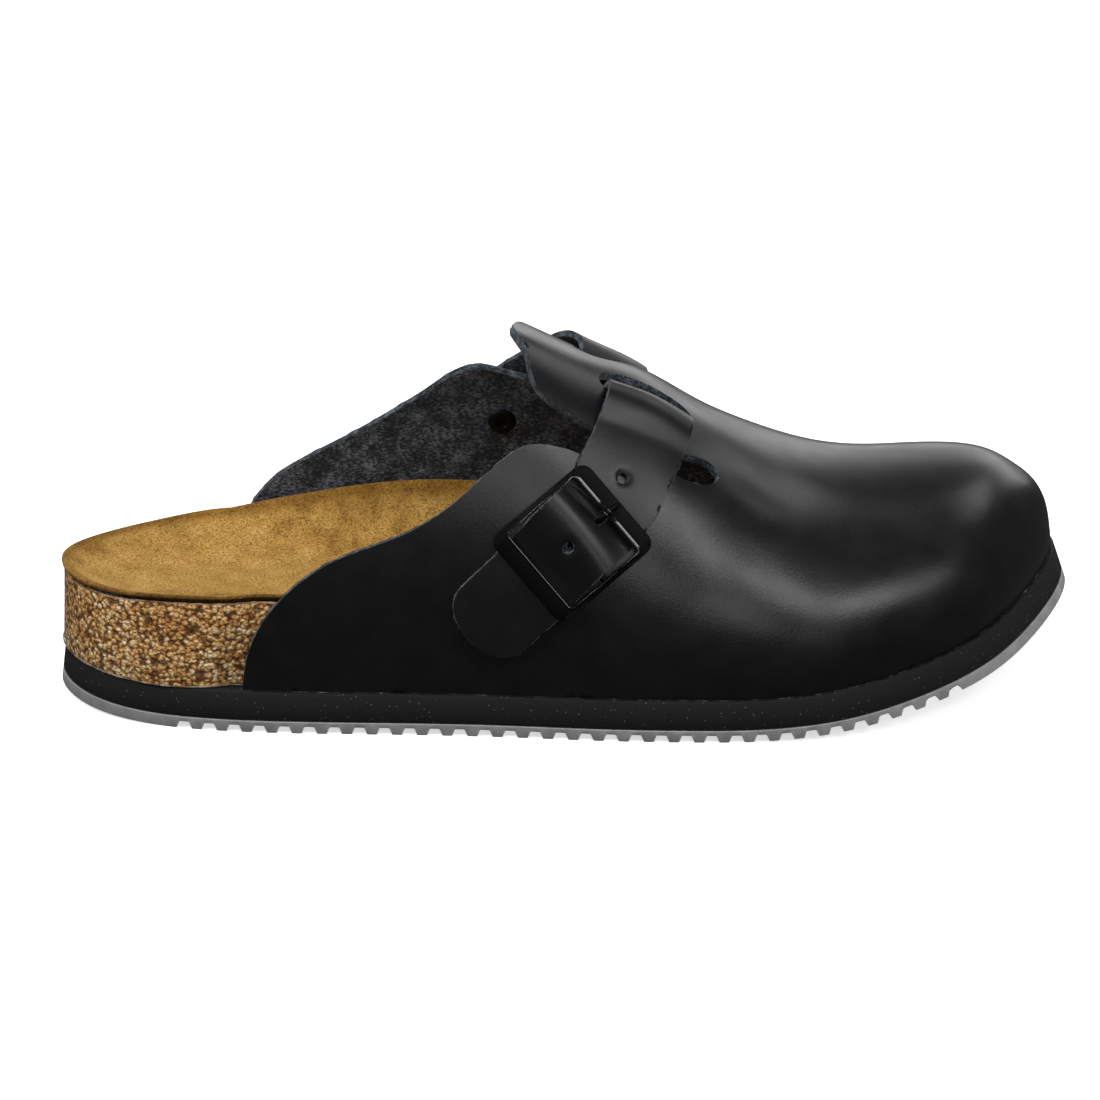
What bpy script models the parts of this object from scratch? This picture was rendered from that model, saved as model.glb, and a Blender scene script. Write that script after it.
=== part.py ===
"""Chef clog: a right shoe, closed at the toe, open at the heel, EU size 42.

Metres. +X runs to the toe, +Y to the inner (medial) side of the foot, +Z up. The origin is the middle
of the heel tread, on the floor. Stations are shares of the sole's length, from the heel back to the
toe tip.

The upper is one surface, lasted over the sole's edge. A point of it has two pattern coordinates: its
station, and its turn about the foot, which is -1 at the lateral feather edge, 0 on the ridge and 1 at
the medial feather edge. Outline, tongue, slits and strap are drawn in these.
"""

import math

import bpy
import numpy as np
from mathutils import Vector
from mathutils.geometry import delaunay_2d_cdt

# Sole
SOLE_LENGTH = 0.2915
HEEL_REACH = 0.0383
BALL_WIDTH = 0.104
TOE_SPRING = 0.0190
TOE_SPRING_START = 0.142
HEEL_SPRING = 0.0020
HEEL_SPRING_START = -0.004
OUTSOLE_WEB = 0.0015
LUG_DEPTH = 0.0020
LUG_PITCH = 0.0070
LUG_FLAT = 0.0027
LUG_ROOT = 0.0043
LUG_LAST = 0.217
MIDSOLE_THICKNESS = 0.0083
SEAM_GAP = 0.0003

# Footbed and insole
HEEL_RIM_HEIGHT = 0.0410
INSOLE_THICKNESS = 0.0018
INSOLE_OVERHANG = 0.0008
INSOLE_SEAM = 0.0006
HEEL_EDGE_INSET = -0.0006
DISH_WIDTH = 0.026
DISH_POWER = 2.2
RIM_INSET = 0.0034
HEEL_CLEAR_START = -0.0235
HEEL_CLEAR_RUN = 0.027
RIM_LAG = 0.0075
LATERAL_LAG = 0.0055
TOE_CLEAR_START = 0.200
TOE_CLEAR = 0.004

# Upper
UPPER_RISE = 0.0963
UPPER_WALL = 0.0027
FEATHER_LEDGE = 0.0011
FEATHER_BULGE = 0.0020

# Strap, its two slits and its holes
STRAP_WIDTH = 0.025
STRAP_THICKNESS = 0.0020
STRAP_GAP = 0.0005
STRAP_TONGUE_GAP = 0.0012
STRAP_END_DEPTH = 0.8
STRAP_HOLE = 0.0033
STRAP_HOLE_PITCH = 0.0132
SLIT_LENGTH = 0.030
SLIT_OPENING = 0.0108
SLIT_PASSAGE = 0.0092
SLIT_END_POWER = 0.4
SLIT_SIDE_POWER = 0.9

# Buckle and rivet
BUCKLE_LENGTH = 0.0345
BUCKLE_SIDE_BAR = 0.0018
BUCKLE_END_BAR = 0.0052
BUCKLE_CENTRE_BAR = 0.0018
BUCKLE_THICKNESS = 0.0018
BUCKLE_CORNER = 0.0035
BUCKLE_SEAT = 0.0030
BUCKLE_CLEARANCE = 0.0003
BUCKLE_PLAY = 0.0011
STRAP_CREST = 0.0058
STRAP_CREST_PLACE = 0.0030
STRAP_BRIDGE = 0.0022
STRAP_BRIDGE_REACH = 0.017
STRAP_CURL = 0.0024
STRAP_CURL_PLACE = 0.0075
STRAP_CURL_REACH = 0.0100
PRONG_DIAMETER = 0.0018
PRONG_EYE = 0.0008
PRONG_HOLE_LENGTH = 0.0050
PRONG_HOLE_PLACE = 0.0098
RIVET_HEAD = 0.0080
RIVET_HEAD_THICKNESS = 0.0012
RIVET_SHANK = 0.0030
RIVET_HOLE = 0.0038
RIVET_CLEARANCE = 0.00045

HEEL_BACK = -HEEL_REACH
TOE_TIP = SOLE_LENGTH - HEEL_REACH
OUTSOLE_THICKNESS = OUTSOLE_WEB + LUG_DEPTH
MIDSOLE_FOOT = OUTSOLE_THICKNESS + SEAM_GAP
MIDSOLE_TOP = MIDSOLE_FOOT + MIDSOLE_THICKNESS
SEAT = MIDSOLE_TOP + SEAM_GAP

# Station, then lateral and medial half breadth as shares of the ball width
SOLE_OUTLINE = (
    (0.035, 0.192, 0.207),
    (0.080, 0.277, 0.284),
    (0.170, 0.353, 0.332),
    (0.290, 0.394, 0.332),
    (0.420, 0.435, 0.327),
    (0.520, 0.480, 0.356),
    (0.640, 0.513, 0.438),
    (0.750, 0.508, 0.486),
    (0.830, 0.433, 0.492),
    (0.910, 0.285, 0.476),
    (0.960, 0.093, 0.423),
)
HEEL_POINT = 0.029
TOE_POINT = 0.221

# Station, height of the ridge above the feather edge as a share of the rise, ridge's place between
# the feather edges (0 lateral, 1 medial), and the fullness of the lateral and of the medial side of
# the section (2 is an ellipse)
RIDGE = (
    (0.060, 1.1200, 0.50, 2.2, 2.8),
    (0.180, 1.1000, 0.50, 2.2, 2.8),
    (0.300, 1.0600, 0.50, 2.2, 2.9),
    (0.442, 0.9860, 0.52, 2.1, 3.0),
    (0.476, 0.9370, 0.54, 2.1, 2.8),
    (0.527, 0.8640, 0.56, 2.1, 2.5),
    (0.569, 0.8140, 0.58, 2.1, 2.3),
    (0.620, 0.7130, 0.60, 2.1, 2.2),
    (0.670, 0.6250, 0.62, 2.2, 2.2),
    (0.716, 0.5540, 0.64, 2.2, 2.2),
    (0.752, 0.5070, 0.65, 2.3, 2.2),
    (0.800, 0.4650, 0.65, 2.4, 2.2),
    (0.851, 0.4320, 0.64, 2.4, 2.3),
    (0.895, 0.3990, 0.62, 2.4, 2.3),
    (0.937, 0.3410, 0.58, 2.3, 2.3),
    (0.961, 0.2810, 0.55, 2.2, 2.2),
    (0.980, 0.2190, 0.53, 2.1, 2.1),
    (0.991, 0.1620, 0.51, 2.1, 2.1),
    (0.997, 0.1040, 0.50, 2.1, 2.1),
)


def smooth_curve(knots, values, closed=False):
    """Cubic curve through the values, with free ends, or joined smoothly when closed."""
    x = np.asarray(knots, float)
    y = np.asarray(values, float)
    count = len(x)
    step = np.diff(x)
    rise = np.diff(y) / step
    system = np.zeros((count, count))
    target = np.zeros(count)
    for i in range(1, count - 1):
        system[i, i - 1:i + 2] = step[i - 1], 2 * (step[i - 1] + step[i]), step[i]
        target[i] = 6 * (rise[i] - rise[i - 1])
    system[0, 0] = 1
    system[-1, -1] = 1
    if closed:
        system[0, -1] = -1
        system[-1, [-2, -1, 1]] = step[-1], 2 * (step[-1] + step[0]), step[0]
        target[-1] = 6 * (rise[0] - rise[-1])
    bend = np.linalg.solve(system, target)

    def at(place):
        place = np.asarray(place, float)
        i = np.clip(np.searchsorted(x, place) - 1, 0, count - 2)
        a = (x[i + 1] - place) / step[i]
        b = 1 - a
        curve = ((a**3 - a) * bend[i] + (b**3 - b) * bend[i + 1]) * step[i]**2 / 6
        return a * y[i] + b * y[i + 1] + curve

    return at


def station_angle(station):
    """Angle from the heel back (0) to the toe tip (pi) that a station has on the outline."""
    return np.arccos(np.clip(1 - 2 * np.asarray(station, float), -1, 1))


def outline_breadth():
    """Breadth of the sole's edge, as a curve of the angle round it: medial side first."""
    rows = np.array(SOLE_OUTLINE)
    angles = station_angle(rows[:, 0])
    knots = np.concatenate(([0], angles, [math.pi], 2 * math.pi - angles[::-1], [2 * math.pi]))
    medial = rows[:, 2]
    lateral = -rows[::-1, 1]
    values = np.concatenate(([HEEL_POINT], medial, [TOE_POINT], lateral, [HEEL_POINT]))
    return smooth_curve(knots, values, closed=True)


BREADTH = outline_breadth()


def sole_edge(angle, inset=0.0):
    """Plan point of the sole's edge at an angle round it, moved inward by the inset."""
    angle = np.mod(angle, 2 * math.pi)
    step = 1e-4
    x = HEEL_BACK + SOLE_LENGTH * (1 - np.cos(angle)) / 2
    y = BALL_WIDTH * BREADTH(angle)
    along = SOLE_LENGTH * np.sin(angle) / 2
    across = BALL_WIDTH * (BREADTH(np.mod(angle + step, 2 * math.pi)) - BREADTH(angle)) / step
    size = np.hypot(along, across)
    return x + inset * across / size, y - inset * along / size


def spring(x):
    """Lift of the tread over the floor, and its slope."""
    toe_run = TOE_TIP - TOE_SPRING_START
    heel_run = HEEL_SPRING_START - HEEL_BACK
    toe = np.clip((x - TOE_SPRING_START) / toe_run, 0, None)
    heel = np.clip((HEEL_SPRING_START - x) / heel_run, 0, None)
    lift = TOE_SPRING * toe**2 + HEEL_SPRING * heel**2
    slope = 2 * TOE_SPRING * toe / toe_run - 2 * HEEL_SPRING * heel / heel_run
    return lift, slope


def sole_point(x, y, height):
    """Point over a plan place of the tread, at a height measured square to the tread."""
    lift, slope = spring(x)
    cosine = 1 / np.sqrt(1 + slope**2)
    return np.stack([x - height * slope * cosine, y + 0 * x, lift + height * cosine], axis=-1)


def footbed_point(x, y, height):
    """Point over a plan place of the tread: square to it up to the seat, and straight up over that."""
    point = sole_point(x, y, SEAT)
    point[..., 2] += height - SEAT
    return point


def ridge_curves():
    """Rise, place and fullness of the upper's sections, as curves of the angle from the toe tip."""
    rows = np.array(RIDGE)[::-1]
    angle = math.pi - station_angle(rows[:, 0])
    rise = smooth_curve(np.append(0, angle), np.append(0, rows[:, 1]))
    place = smooth_curve(angle, rows[:, 2])
    lateral_fullness = smooth_curve(angle, rows[:, 3])
    medial_fullness = smooth_curve(angle, rows[:, 4])
    return rise, place, lateral_fullness, medial_fullness


RISE, PLACE, LATERAL_FULLNESS, MEDIAL_FULLNESS = ridge_curves()


def feather(angle):
    """Lower outer edge of the upper, at an angle round the sole."""
    x, y = sole_edge(angle, FEATHER_LEDGE)
    return sole_point(x, y, SEAT)


def upper_surface(p, q):
    """Outer face of the upper. The polar angle of (p, q) is the turn about the foot, and its length
    the angle from the toe tip, so the face is smooth at the tip as well."""
    reach = np.maximum(np.hypot(p, q), 1e-7)
    turn = np.arctan2(q, p)
    lateral = feather(math.pi + reach)
    medial = feather(math.pi - reach)
    place = PLACE(reach)[..., None]
    crest = lateral + place * (medial - lateral)
    rise = (UPPER_RISE * RISE(reach))[..., None]
    side = np.where((turn < 0)[..., None], lateral, medial)
    power = np.where(turn < 0, LATERAL_FULLNESS(reach), MEDIAL_FULLNESS(reach))
    sine = np.sin(turn)
    cosine = np.cos(turn)
    size = (np.abs(sine)**power + np.abs(cosine)**power)**(1 / power)
    out = (np.abs(sine) / size)[..., None]
    up = (cosine / size)[..., None]
    point = crest + (side - crest) * out
    away = side - crest
    away = away / np.maximum(np.linalg.norm(away, axis=-1, keepdims=True), 1e-9)
    swell = 6.75 * np.clip(up, 0, 1) * (1 - np.clip(up, 0, 1))**2
    point = point + away * swell * FEATHER_BULGE * np.clip(reach / 0.08, 0, 1)[..., None]
    point[..., 2] = (crest + (side - crest) * out + rise * up)[..., 2]
    return point


def pattern(station, turn):
    """Drawing plane coordinates of a pattern point."""
    reach = math.pi - station_angle(station)
    angle = np.asarray(turn, float) * math.pi / 2
    return reach * np.cos(angle), reach * np.sin(angle)


# Upper's free edge, as station and turn: lateral quarter, throat notch, tongue, medial notch, quarter
FREE_EDGE = (
    (0.175, -1.000),
    (0.179, -0.950),
    (0.191, -0.890),
    (0.219, -0.822),
    (0.260, -0.763),
    (0.329, -0.705),
    (0.380, -0.635),
    (0.419, -0.545),
    (0.446, -0.485),
    (0.472, -0.456),
    (0.498, -0.450),
    (0.545, -0.440),
    (0.596, -0.420),
    (0.627, -0.395),
    (0.637, -0.353),
    (0.627, -0.316),
    (0.604, -0.333),
    (0.560, -0.352),
    (0.516, -0.355),
    (0.480, -0.330),
    (0.462, -0.295),
    (0.457, -0.230),
    (0.454, -0.140),
    (0.446, -0.050),
    (0.443, 0.030),
    (0.447, 0.120),
    (0.454, 0.200),
    (0.459, 0.275),
    (0.470, 0.330),
    (0.495, 0.365),
    (0.540, 0.380),
    (0.590, 0.365),
    (0.627, 0.325),
    (0.639, 0.367),
    (0.628, 0.410),
    (0.596, 0.440),
    (0.545, 0.475),
    (0.498, 0.505),
    (0.463, 0.520),
    (0.438, 0.529),
    (0.415, 0.533),
    (0.388, 0.562),
    (0.361, 0.605),
    (0.336, 0.637),
    (0.286, 0.693),
    (0.235, 0.745),
    (0.210, 0.777),
    (0.191, 0.818),
    (0.172, 0.880),
    (0.160, 0.940),
    (0.155, 1.000),
)

# Middle of the strap, as station and turn, from its riveted medial end to its lateral tip
STRAP_PATH = (
    (0.404, 0.712),
    (0.420, 0.677),
    (0.438, 0.640),
    (0.476, 0.545),
    (0.510, 0.430),
    (0.535, 0.300),
    (0.550, 0.190),
    (0.566, 0.030),
    (0.569, -0.146),
    (0.562, -0.300),
    (0.551, -0.410),
    (0.540, -0.483),
    (0.532, -0.536),
    (0.520, -0.589),
    (0.491, -0.665),
    (0.4515, -0.771),
    (0.416, -0.848),
    (0.395, -0.892),
)
RIVET_ROW = 2
NOTCH_ROW = 4
FAR_SLIT_ROW = 6
NEAR_SLIT_ROW = 8
BUCKLE_ROW = 14

# Prong behind its hook: place as a share of the window, and climb from under the strap onto the bar
PRONG_PATH = (
    (0.30, 0.15),
    (0.42, 0.00),
    (0.53, 0.00),
    (0.64, 0.13),
    (0.93, 0.98),
    (1.00, 1.00),
    (1.20, 1.00),
    (1.33, 1.00),
    (1.40, 0.96),
)

# Station, then height of the insole over the tread along the middle, the lateral rim and the medial
# rim, as shares of the heel rim's height
FOOTBED = (
    (0.00, 0.820, 0.910, 0.910),
    (0.05, 0.812, 0.950, 0.932),
    (0.10, 0.805, 0.988, 0.968),
    (0.19, 0.800, 0.990, 1.090),
    (0.24, 0.800, 0.990, 1.160),
    (0.33, 0.790, 0.976, 1.260),
    (0.42, 0.750, 0.915, 1.250),
    (0.55, 0.600, 0.730, 0.960),
    (0.66, 0.500, 0.610, 0.640),
    (0.80, 0.480, 0.560, 0.560),
    (1.00, 0.440, 0.460, 0.460),
)


def step_up(value):
    """Smooth step from 0 to 1."""
    value = np.clip(value, 0, 1)
    return value * value * (3 - 2 * value)


def inside(points, loops):
    """Which plane points lie inside the loops, by counting the edges to their right."""
    crossings = np.zeros(len(points), int)
    for loop in loops:
        x0, y0 = loop.T
        x1, y1 = np.roll(loop, -1, axis=0).T
        for i in range(len(loop)):
            spans = (y0[i] > points[:, 1]) != (y1[i] > points[:, 1])
            slant = (x1[i] - x0[i]) / (y1[i] - y0[i] if y1[i] != y0[i] else 1)
            crossings += spans & (points[:, 0] < x0[i] + slant * (points[:, 1] - y0[i]))
    return crossings % 2 == 1


def cut_sheet(loops, filling, clear, lines=()):
    """Triangles that fill the loops of a flat pattern. Filling points nearer to an edge than the
    clearance are left out. Lines are pairs of loop points that stay an edge."""
    edge_points = np.concatenate(loops)
    filling = filling[inside(filling, loops)]
    gap = np.hypot(*(filling[:, None] - edge_points[None]).transpose(2, 0, 1)).min(axis=1)
    filling = filling[gap > clear]
    points = np.concatenate([edge_points, filling])
    edges = []
    start = 0
    for loop in loops:
        count = len(loop)
        edges += [(start + i, start + (i + 1) % count) for i in range(count)]
        start += count
    edges += list(lines)
    found, _, faces, *_ = delaunay_2d_cdt([Vector(point) for point in points], edges, [], 0, 1e-9)
    found = np.array([tuple(point) for point in found])
    faces = np.array([face for face in faces if len(face) == 3])
    faces = faces[inside(found[faces].mean(axis=1), loops)]
    used = np.unique(faces)
    place = np.zeros(len(found), int)
    place[used] = np.arange(len(used))
    return found[used], place[faces]


def point_normals(points, faces):
    """Mean normal of the faces round each point."""
    a, b, c = (points[faces[:, i]] for i in range(3))
    face_normals = np.cross(b - a, c - a)
    normals = np.zeros_like(points)
    for i in range(3):
        np.add.at(normals, faces[:, i], face_normals)
    return normals / np.linalg.norm(normals, axis=1, keepdims=True)


def closed_body(name, front, back, faces, material):
    """Solid between two faces of one pattern, with a wall along each free edge."""
    count = len(front)
    once = {}
    for a, b, c in faces.tolist():
        for edge in ((a, b), (b, c), (c, a)):
            if edge[::-1] in once:
                del once[edge[::-1]]
            else:
                once[edge] = True
    body = [tuple(face) for face in faces.tolist()]
    body += [(c + count, b + count, a + count) for a, b, c in faces.tolist()]
    body += [(b, a, a + count, b + count) for a, b in once]
    points = np.concatenate([front, back])
    return solid(name, points, body, material)


def solid(name, points, faces, material):
    """Object made from points and faces, turned to face outward."""
    volume = 0.0
    for face in faces:
        a, b = points[face[0]], points[face[1]]
        for corner in face[2:]:
            c = points[corner]
            volume += np.dot(a, np.cross(b, c))
            b = c
    if volume < 0:
        faces = [face[::-1] for face in faces]
    mesh = bpy.data.meshes.new(name)
    mesh.from_pydata([tuple(point) for point in points], [], faces)
    mesh.shade_smooth()
    mesh.set_sharp_from_angle(angle=math.radians(35))
    mesh.materials.append(material)
    thing = bpy.data.objects.new(name, mesh)
    bpy.context.collection.objects.link(thing)
    return thing


def finish(name, colour, roughness, metallic=0.0):
    """Material of one piece."""
    material = bpy.data.materials.new(name)
    material.use_nodes = True
    shader = material.node_tree.nodes["Principled BSDF"]
    shader.inputs["Base Color"].default_value = (*colour, 1)
    shader.inputs["Roughness"].default_value = roughness
    shader.inputs["Metallic"].default_value = metallic
    return material


def grid(low, high, spacing):
    """Staggered points over a plane box, at about the spacing."""
    columns = np.arange(low[0], high[0], spacing[0])
    rows = np.arange(low[1], high[1], spacing[1])
    x, y = np.meshgrid(columns, rows, indexing="ij")
    y = y + spacing[1] / 2 * (np.arange(len(columns))[:, None] % 2)
    return np.stack([x.ravel(), y.ravel()], axis=1)


def edge_loop(inset, count):
    """The sole's outline as a loop of plan points."""
    angle = np.arange(count) * 2 * math.pi / count
    return np.stack(sole_edge(angle, inset), axis=1)


def make_outsole(material):
    """Web with lugs across it. The plan is cut at each corner of the lugs' profile."""
    corners = (LUG_FLAT / 2, LUG_ROOT / 2)
    lugs = np.arange(-LUG_PITCH, LUG_LAST, LUG_PITCH)
    places = [lugs[0] + LUG_FLAT / 2, lugs[0] + LUG_ROOT / 2]
    for lug in lugs[1:]:
        places += [lug - corners[1], lug - corners[0], lug + corners[0], lug + corners[1]]
    places += [lugs[-1] + LUG_PITCH - corners[1], lugs[-1] + LUG_PITCH - corners[0]]
    places = np.array(places)
    depth = np.tile([0, LUG_DEPTH, LUG_DEPTH, 0], len(lugs))
    cuts = station_angle((places - HEEL_BACK) / SOLE_LENGTH)
    heel = np.linspace(-cuts[0], cuts[0], 17)[1:-1]
    toe = np.linspace(cuts[-1], 2 * math.pi - cuts[-1], 25)[1:-1]
    angle = np.concatenate([heel, cuts, toe, 2 * math.pi - cuts[::-1]])
    loop = np.stack(sole_edge(angle), axis=1)
    medial = len(heel) + np.arange(len(cuts))
    lateral = len(heel) + 2 * len(cuts) + len(toe) - 1 - np.arange(len(cuts))
    lines = list(zip(medial.tolist(), lateral.tolist()))
    filling = grid((HEEL_BACK, -BALL_WIDTH), (TOE_TIP, BALL_WIDTH), (0.012, 0.012))
    filling = filling[(filling[:, 0] < places[0] - 0.004) | (filling[:, 0] > places[-1] + 0.004)]
    plan, faces = cut_sheet([loop], filling, 0.004, lines)
    height = np.interp(plan[:, 0], places, depth, left=0, right=0)
    x, y = plan.T
    top = sole_point(x, y, OUTSOLE_THICKNESS)
    tread = sole_point(x, y, height)
    return closed_body("outsole", top, tread, faces, material)


def make_midsole(material):
    """Slab that follows the tread, from the outsole to the feather edge."""
    loop = edge_loop(0, 96)
    filling = grid((HEEL_BACK, -BALL_WIDTH), (TOE_TIP, BALL_WIDTH), (0.013, 0.016))
    plan, faces = cut_sheet([loop], filling, 0.005)
    x, y = plan.T
    return closed_body("midsole", sole_point(x, y, MIDSOLE_TOP), sole_point(x, y, MIDSOLE_FOOT), faces,
                       material)


def footbed_loop(extra, count, lag=RIM_LAG, covered=RIM_INSET):
    """Outline of the footbed: near the sole's edge at the heel, and drawn in towards the quarters to
    lie inside the upper in front. The rim is drawn in later than the foot of the wall, and the
    lateral side later than the medial one, as the quarters' edges are."""
    angle = np.arange(count) * 2 * math.pi / count
    x, _ = sole_edge(angle)
    start = HEEL_CLEAR_START + lag + np.where(angle > math.pi, LATERAL_LAG, 0)
    share = np.clip((x - start) / HEEL_CLEAR_RUN, 0, 1)**3
    toe = step_up((x - TOE_CLEAR_START) / (TOE_TIP - TOE_CLEAR_START))
    inset = HEEL_EDGE_INSET + (covered - HEEL_EDGE_INSET) * share + extra
    return np.stack(sole_edge(angle, inset + TOE_CLEAR * toe), axis=1)


def insole_height(plan, rim):
    """Height of the insole's face over the tread: a bed that rises to the rim like a dish."""
    rows = np.array(FOOTBED)
    station = (plan[:, 0] - HEEL_BACK) / SOLE_LENGTH
    bed, lateral, medial = (HEEL_RIM_HEIGHT * smooth_curve(rows[:, 0], rows[:, i])(station)
                            for i in (1, 2, 3))
    side = step_up(0.5 + plan[:, 1] / BALL_WIDTH)
    from_rim = np.hypot(*(plan[:, None] - rim[None]).transpose(2, 0, 1)).min(axis=1)
    dish = np.clip(1 - from_rim / DISH_WIDTH, 0, 1)**DISH_POWER
    return bed + (lateral + (medial - lateral) * side - bed) * dish


def footbed_plan(count=96):
    """Plan of the insole, cut once: rings where the dish is steep, and a grid in its bed."""
    rings = [footbed_loop(DISH_WIDTH * share, points) for share, points in ((0.16, 84), (0.38, 66))]
    bed = grid((HEEL_BACK, -BALL_WIDTH), (TOE_TIP, BALL_WIDTH), (0.0115, 0.0115))
    bed = bed[inside(bed, [footbed_loop(DISH_WIDTH * 0.6, 60)])]
    return cut_sheet([footbed_loop(0, count)], np.concatenate([*rings, bed]), 0.0015)


def make_footbed(material):
    """Cork body under the insole, cut as the insole is with its edge drawn in, so that the two faces
    lie alike. Its wall is bare round the heel."""
    plan, faces = footbed_plan()
    foot = plan.copy()
    rim = footbed_loop(0, 96)
    plan[:96] = footbed_loop(INSOLE_OVERHANG, 96)
    foot[:96] = footbed_loop(0, 96, 0, FEATHER_LEDGE + UPPER_WALL + 2 * SEAM_GAP)
    top = insole_height(plan, rim) - INSOLE_THICKNESS - INSOLE_SEAM
    return closed_body("footbed", footbed_point(*plan.T, top), sole_point(*foot.T, SEAT), faces,
                       material)


def make_insole(material):
    """Suede cover of the footbed, its rim just proud of the cork."""
    plan, faces = footbed_plan()
    top = insole_height(plan, footbed_loop(0, 96))
    x, y = plan.T
    return closed_body("insole", footbed_point(x, y, top),
                       footbed_point(x, y, top - INSOLE_THICKNESS), faces, material)


def through(rows, spacing):
    """Points at about the spacing (metres on the upper) along a smooth line through pattern rows,
    with the line's own parameter at each row."""
    rows = np.array(rows)
    knots = np.stack(pattern(rows[:, 0], rows[:, 1]), axis=1)
    places = upper_surface(*knots.T)
    run = np.concatenate([[0], np.cumsum(np.linalg.norm(np.diff(places, axis=0), axis=1))])
    p = smooth_curve(run, knots[:, 0])
    q = smooth_curve(run, knots[:, 1])
    count = int(round(run[-1] / spacing))
    at = np.linspace(0, run[-1], count + 1)
    return np.stack([p(at), q(at)], axis=1), run, (p, q)


def upper_normal(p, q):
    """Outward direction of the upper's face."""
    step = 1e-4
    along = upper_surface(p + step, q) - upper_surface(p - step, q)
    across = upper_surface(p, q + step) - upper_surface(p, q - step)
    normal = np.cross(along, across)
    normal = normal / np.linalg.norm(normal, axis=-1, keepdims=True)
    middle = upper_surface(p, q)
    inward = np.array([TOE_TIP / 2, 0, SEAT]) - middle
    return np.where((normal * inward).sum(axis=-1, keepdims=True) > 0, -normal, normal)


class StrapLine:
    """Middle line of the strap on the upper, with the pattern steps that are one metre along the
    strap and one metre across it."""

    def __init__(self):
        _, self.run, (self.p, self.q) = through(STRAP_PATH, 0.004)
        self.length = self.run[-1]

    def frame(self, at):
        """Pattern place, then the along and across steps in the pattern, at places on the line."""
        step = 1e-4
        p, q = self.p(at), self.q(at)
        here = upper_surface(p, q)
        ahead = upper_surface(self.p(at + step), self.q(at + step)) - here
        ahead = ahead / np.linalg.norm(ahead, axis=-1, keepdims=True)
        normal = upper_normal(p, q)
        side = np.cross(normal, ahead)
        by_p = (upper_surface(p + step, q) - upper_surface(p - step, q)) / (2 * step)
        by_q = (upper_surface(p, q + step) - upper_surface(p, q - step)) / (2 * step)
        pp = (by_p * by_p).sum(axis=-1)
        pq = (by_p * by_q).sum(axis=-1)
        qq = (by_q * by_q).sum(axis=-1)
        det = pp * qq - pq * pq
        steps = []
        for direction in (ahead, side):
            dp = (by_p * direction).sum(axis=-1)
            dq = (by_q * direction).sum(axis=-1)
            steps.append(np.stack([(qq * dp - pq * dq) / det, (pp * dq - pq * dp) / det], axis=-1))
        return np.stack([p, q], axis=-1), steps[0], steps[1]

    def place(self, at, across):
        """Pattern place of a point of the strap."""
        middle, _, side = self.frame(at)
        return middle + side * np.asarray(across)[..., None]

    def row(self, number):
        """Place along the line of a row of its table."""
        return self.run[number]


STRAP = StrapLine()


def strap_rise(at):
    """Height of the strap's middle layer over the upper's face: on it, under the tongue between the
    slits, over the medial notch, curled up past the near slit, and over the buckle's centre bar."""
    over = STRAP_GAP + STRAP_THICKNESS / 2
    under = -(UPPER_WALL + STRAP_TONGUE_GAP + STRAP_THICKNESS / 2)
    down = step_up((at - STRAP.row(FAR_SLIT_ROW)) / SLIT_PASSAGE + 0.5)
    up = step_up((at - STRAP.row(NEAR_SLIT_ROW)) / SLIT_PASSAGE + 0.5)
    from_crest = at - STRAP.row(BUCKLE_ROW) + STRAP_CREST_PLACE
    reach = BUCKLE_LENGTH / 2 - BUCKLE_END_BAR + np.where(from_crest < 0, -1, 1) * STRAP_CREST_PLACE
    bump = np.cos(np.clip(from_crest / reach, -1, 1) * math.pi / 2)**2
    from_bridge = (at - (STRAP.row(NOTCH_ROW) + STRAP.row(NOTCH_ROW + 1)) / 2) / STRAP_BRIDGE_REACH
    bridge = np.cos(np.clip(from_bridge, -1, 1) * math.pi / 2)**2
    from_curl = (at - STRAP.row(NEAR_SLIT_ROW) - STRAP_CURL_PLACE) / STRAP_CURL_REACH
    curl = np.cos(np.clip(from_curl, -1, 1) * math.pi / 2)**2
    level = over + (under - over) * (down - up)
    return level + STRAP_CREST * bump + STRAP_BRIDGE * bridge + STRAP_CURL * curl


def strap_hole_places():
    """Holes along the strap's line: one for the prong, one a pitch before it and one after, measured
    on the strap itself, which is longer than its line where it climbs."""
    at = np.linspace(0, STRAP.length, 2000)
    own = np.concatenate([[0], np.cumsum(np.hypot(np.diff(at), np.diff(strap_rise(at))))])
    prong = STRAP.row(BUCKLE_ROW) - PRONG_HOLE_PLACE
    here = np.interp(prong, at, own)
    before, after = (np.interp(here + way * STRAP_HOLE_PITCH, own, at) for way in (-1, 1))
    return before, prong, after


def slit_loop(row, count=28):
    """A slit across the strap's line, rounder than a slot and blunter than a lens."""
    angle = np.arange(count) * 2 * math.pi / count
    c, s = np.cos(angle), np.sin(angle)
    across = np.sign(c) * np.abs(c)**SLIT_END_POWER * SLIT_LENGTH / 2
    along = np.sign(s) * np.abs(s)**SLIT_SIDE_POWER * SLIT_OPENING / 2
    return STRAP.place(STRAP.row(row) + along, across)


def hole_loop(diameter, count=12):
    """Circle in plane measure."""
    angle = np.arange(count) * 2 * math.pi / count
    return np.stack([np.cos(angle), np.sin(angle)], axis=1) * diameter / 2


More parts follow.
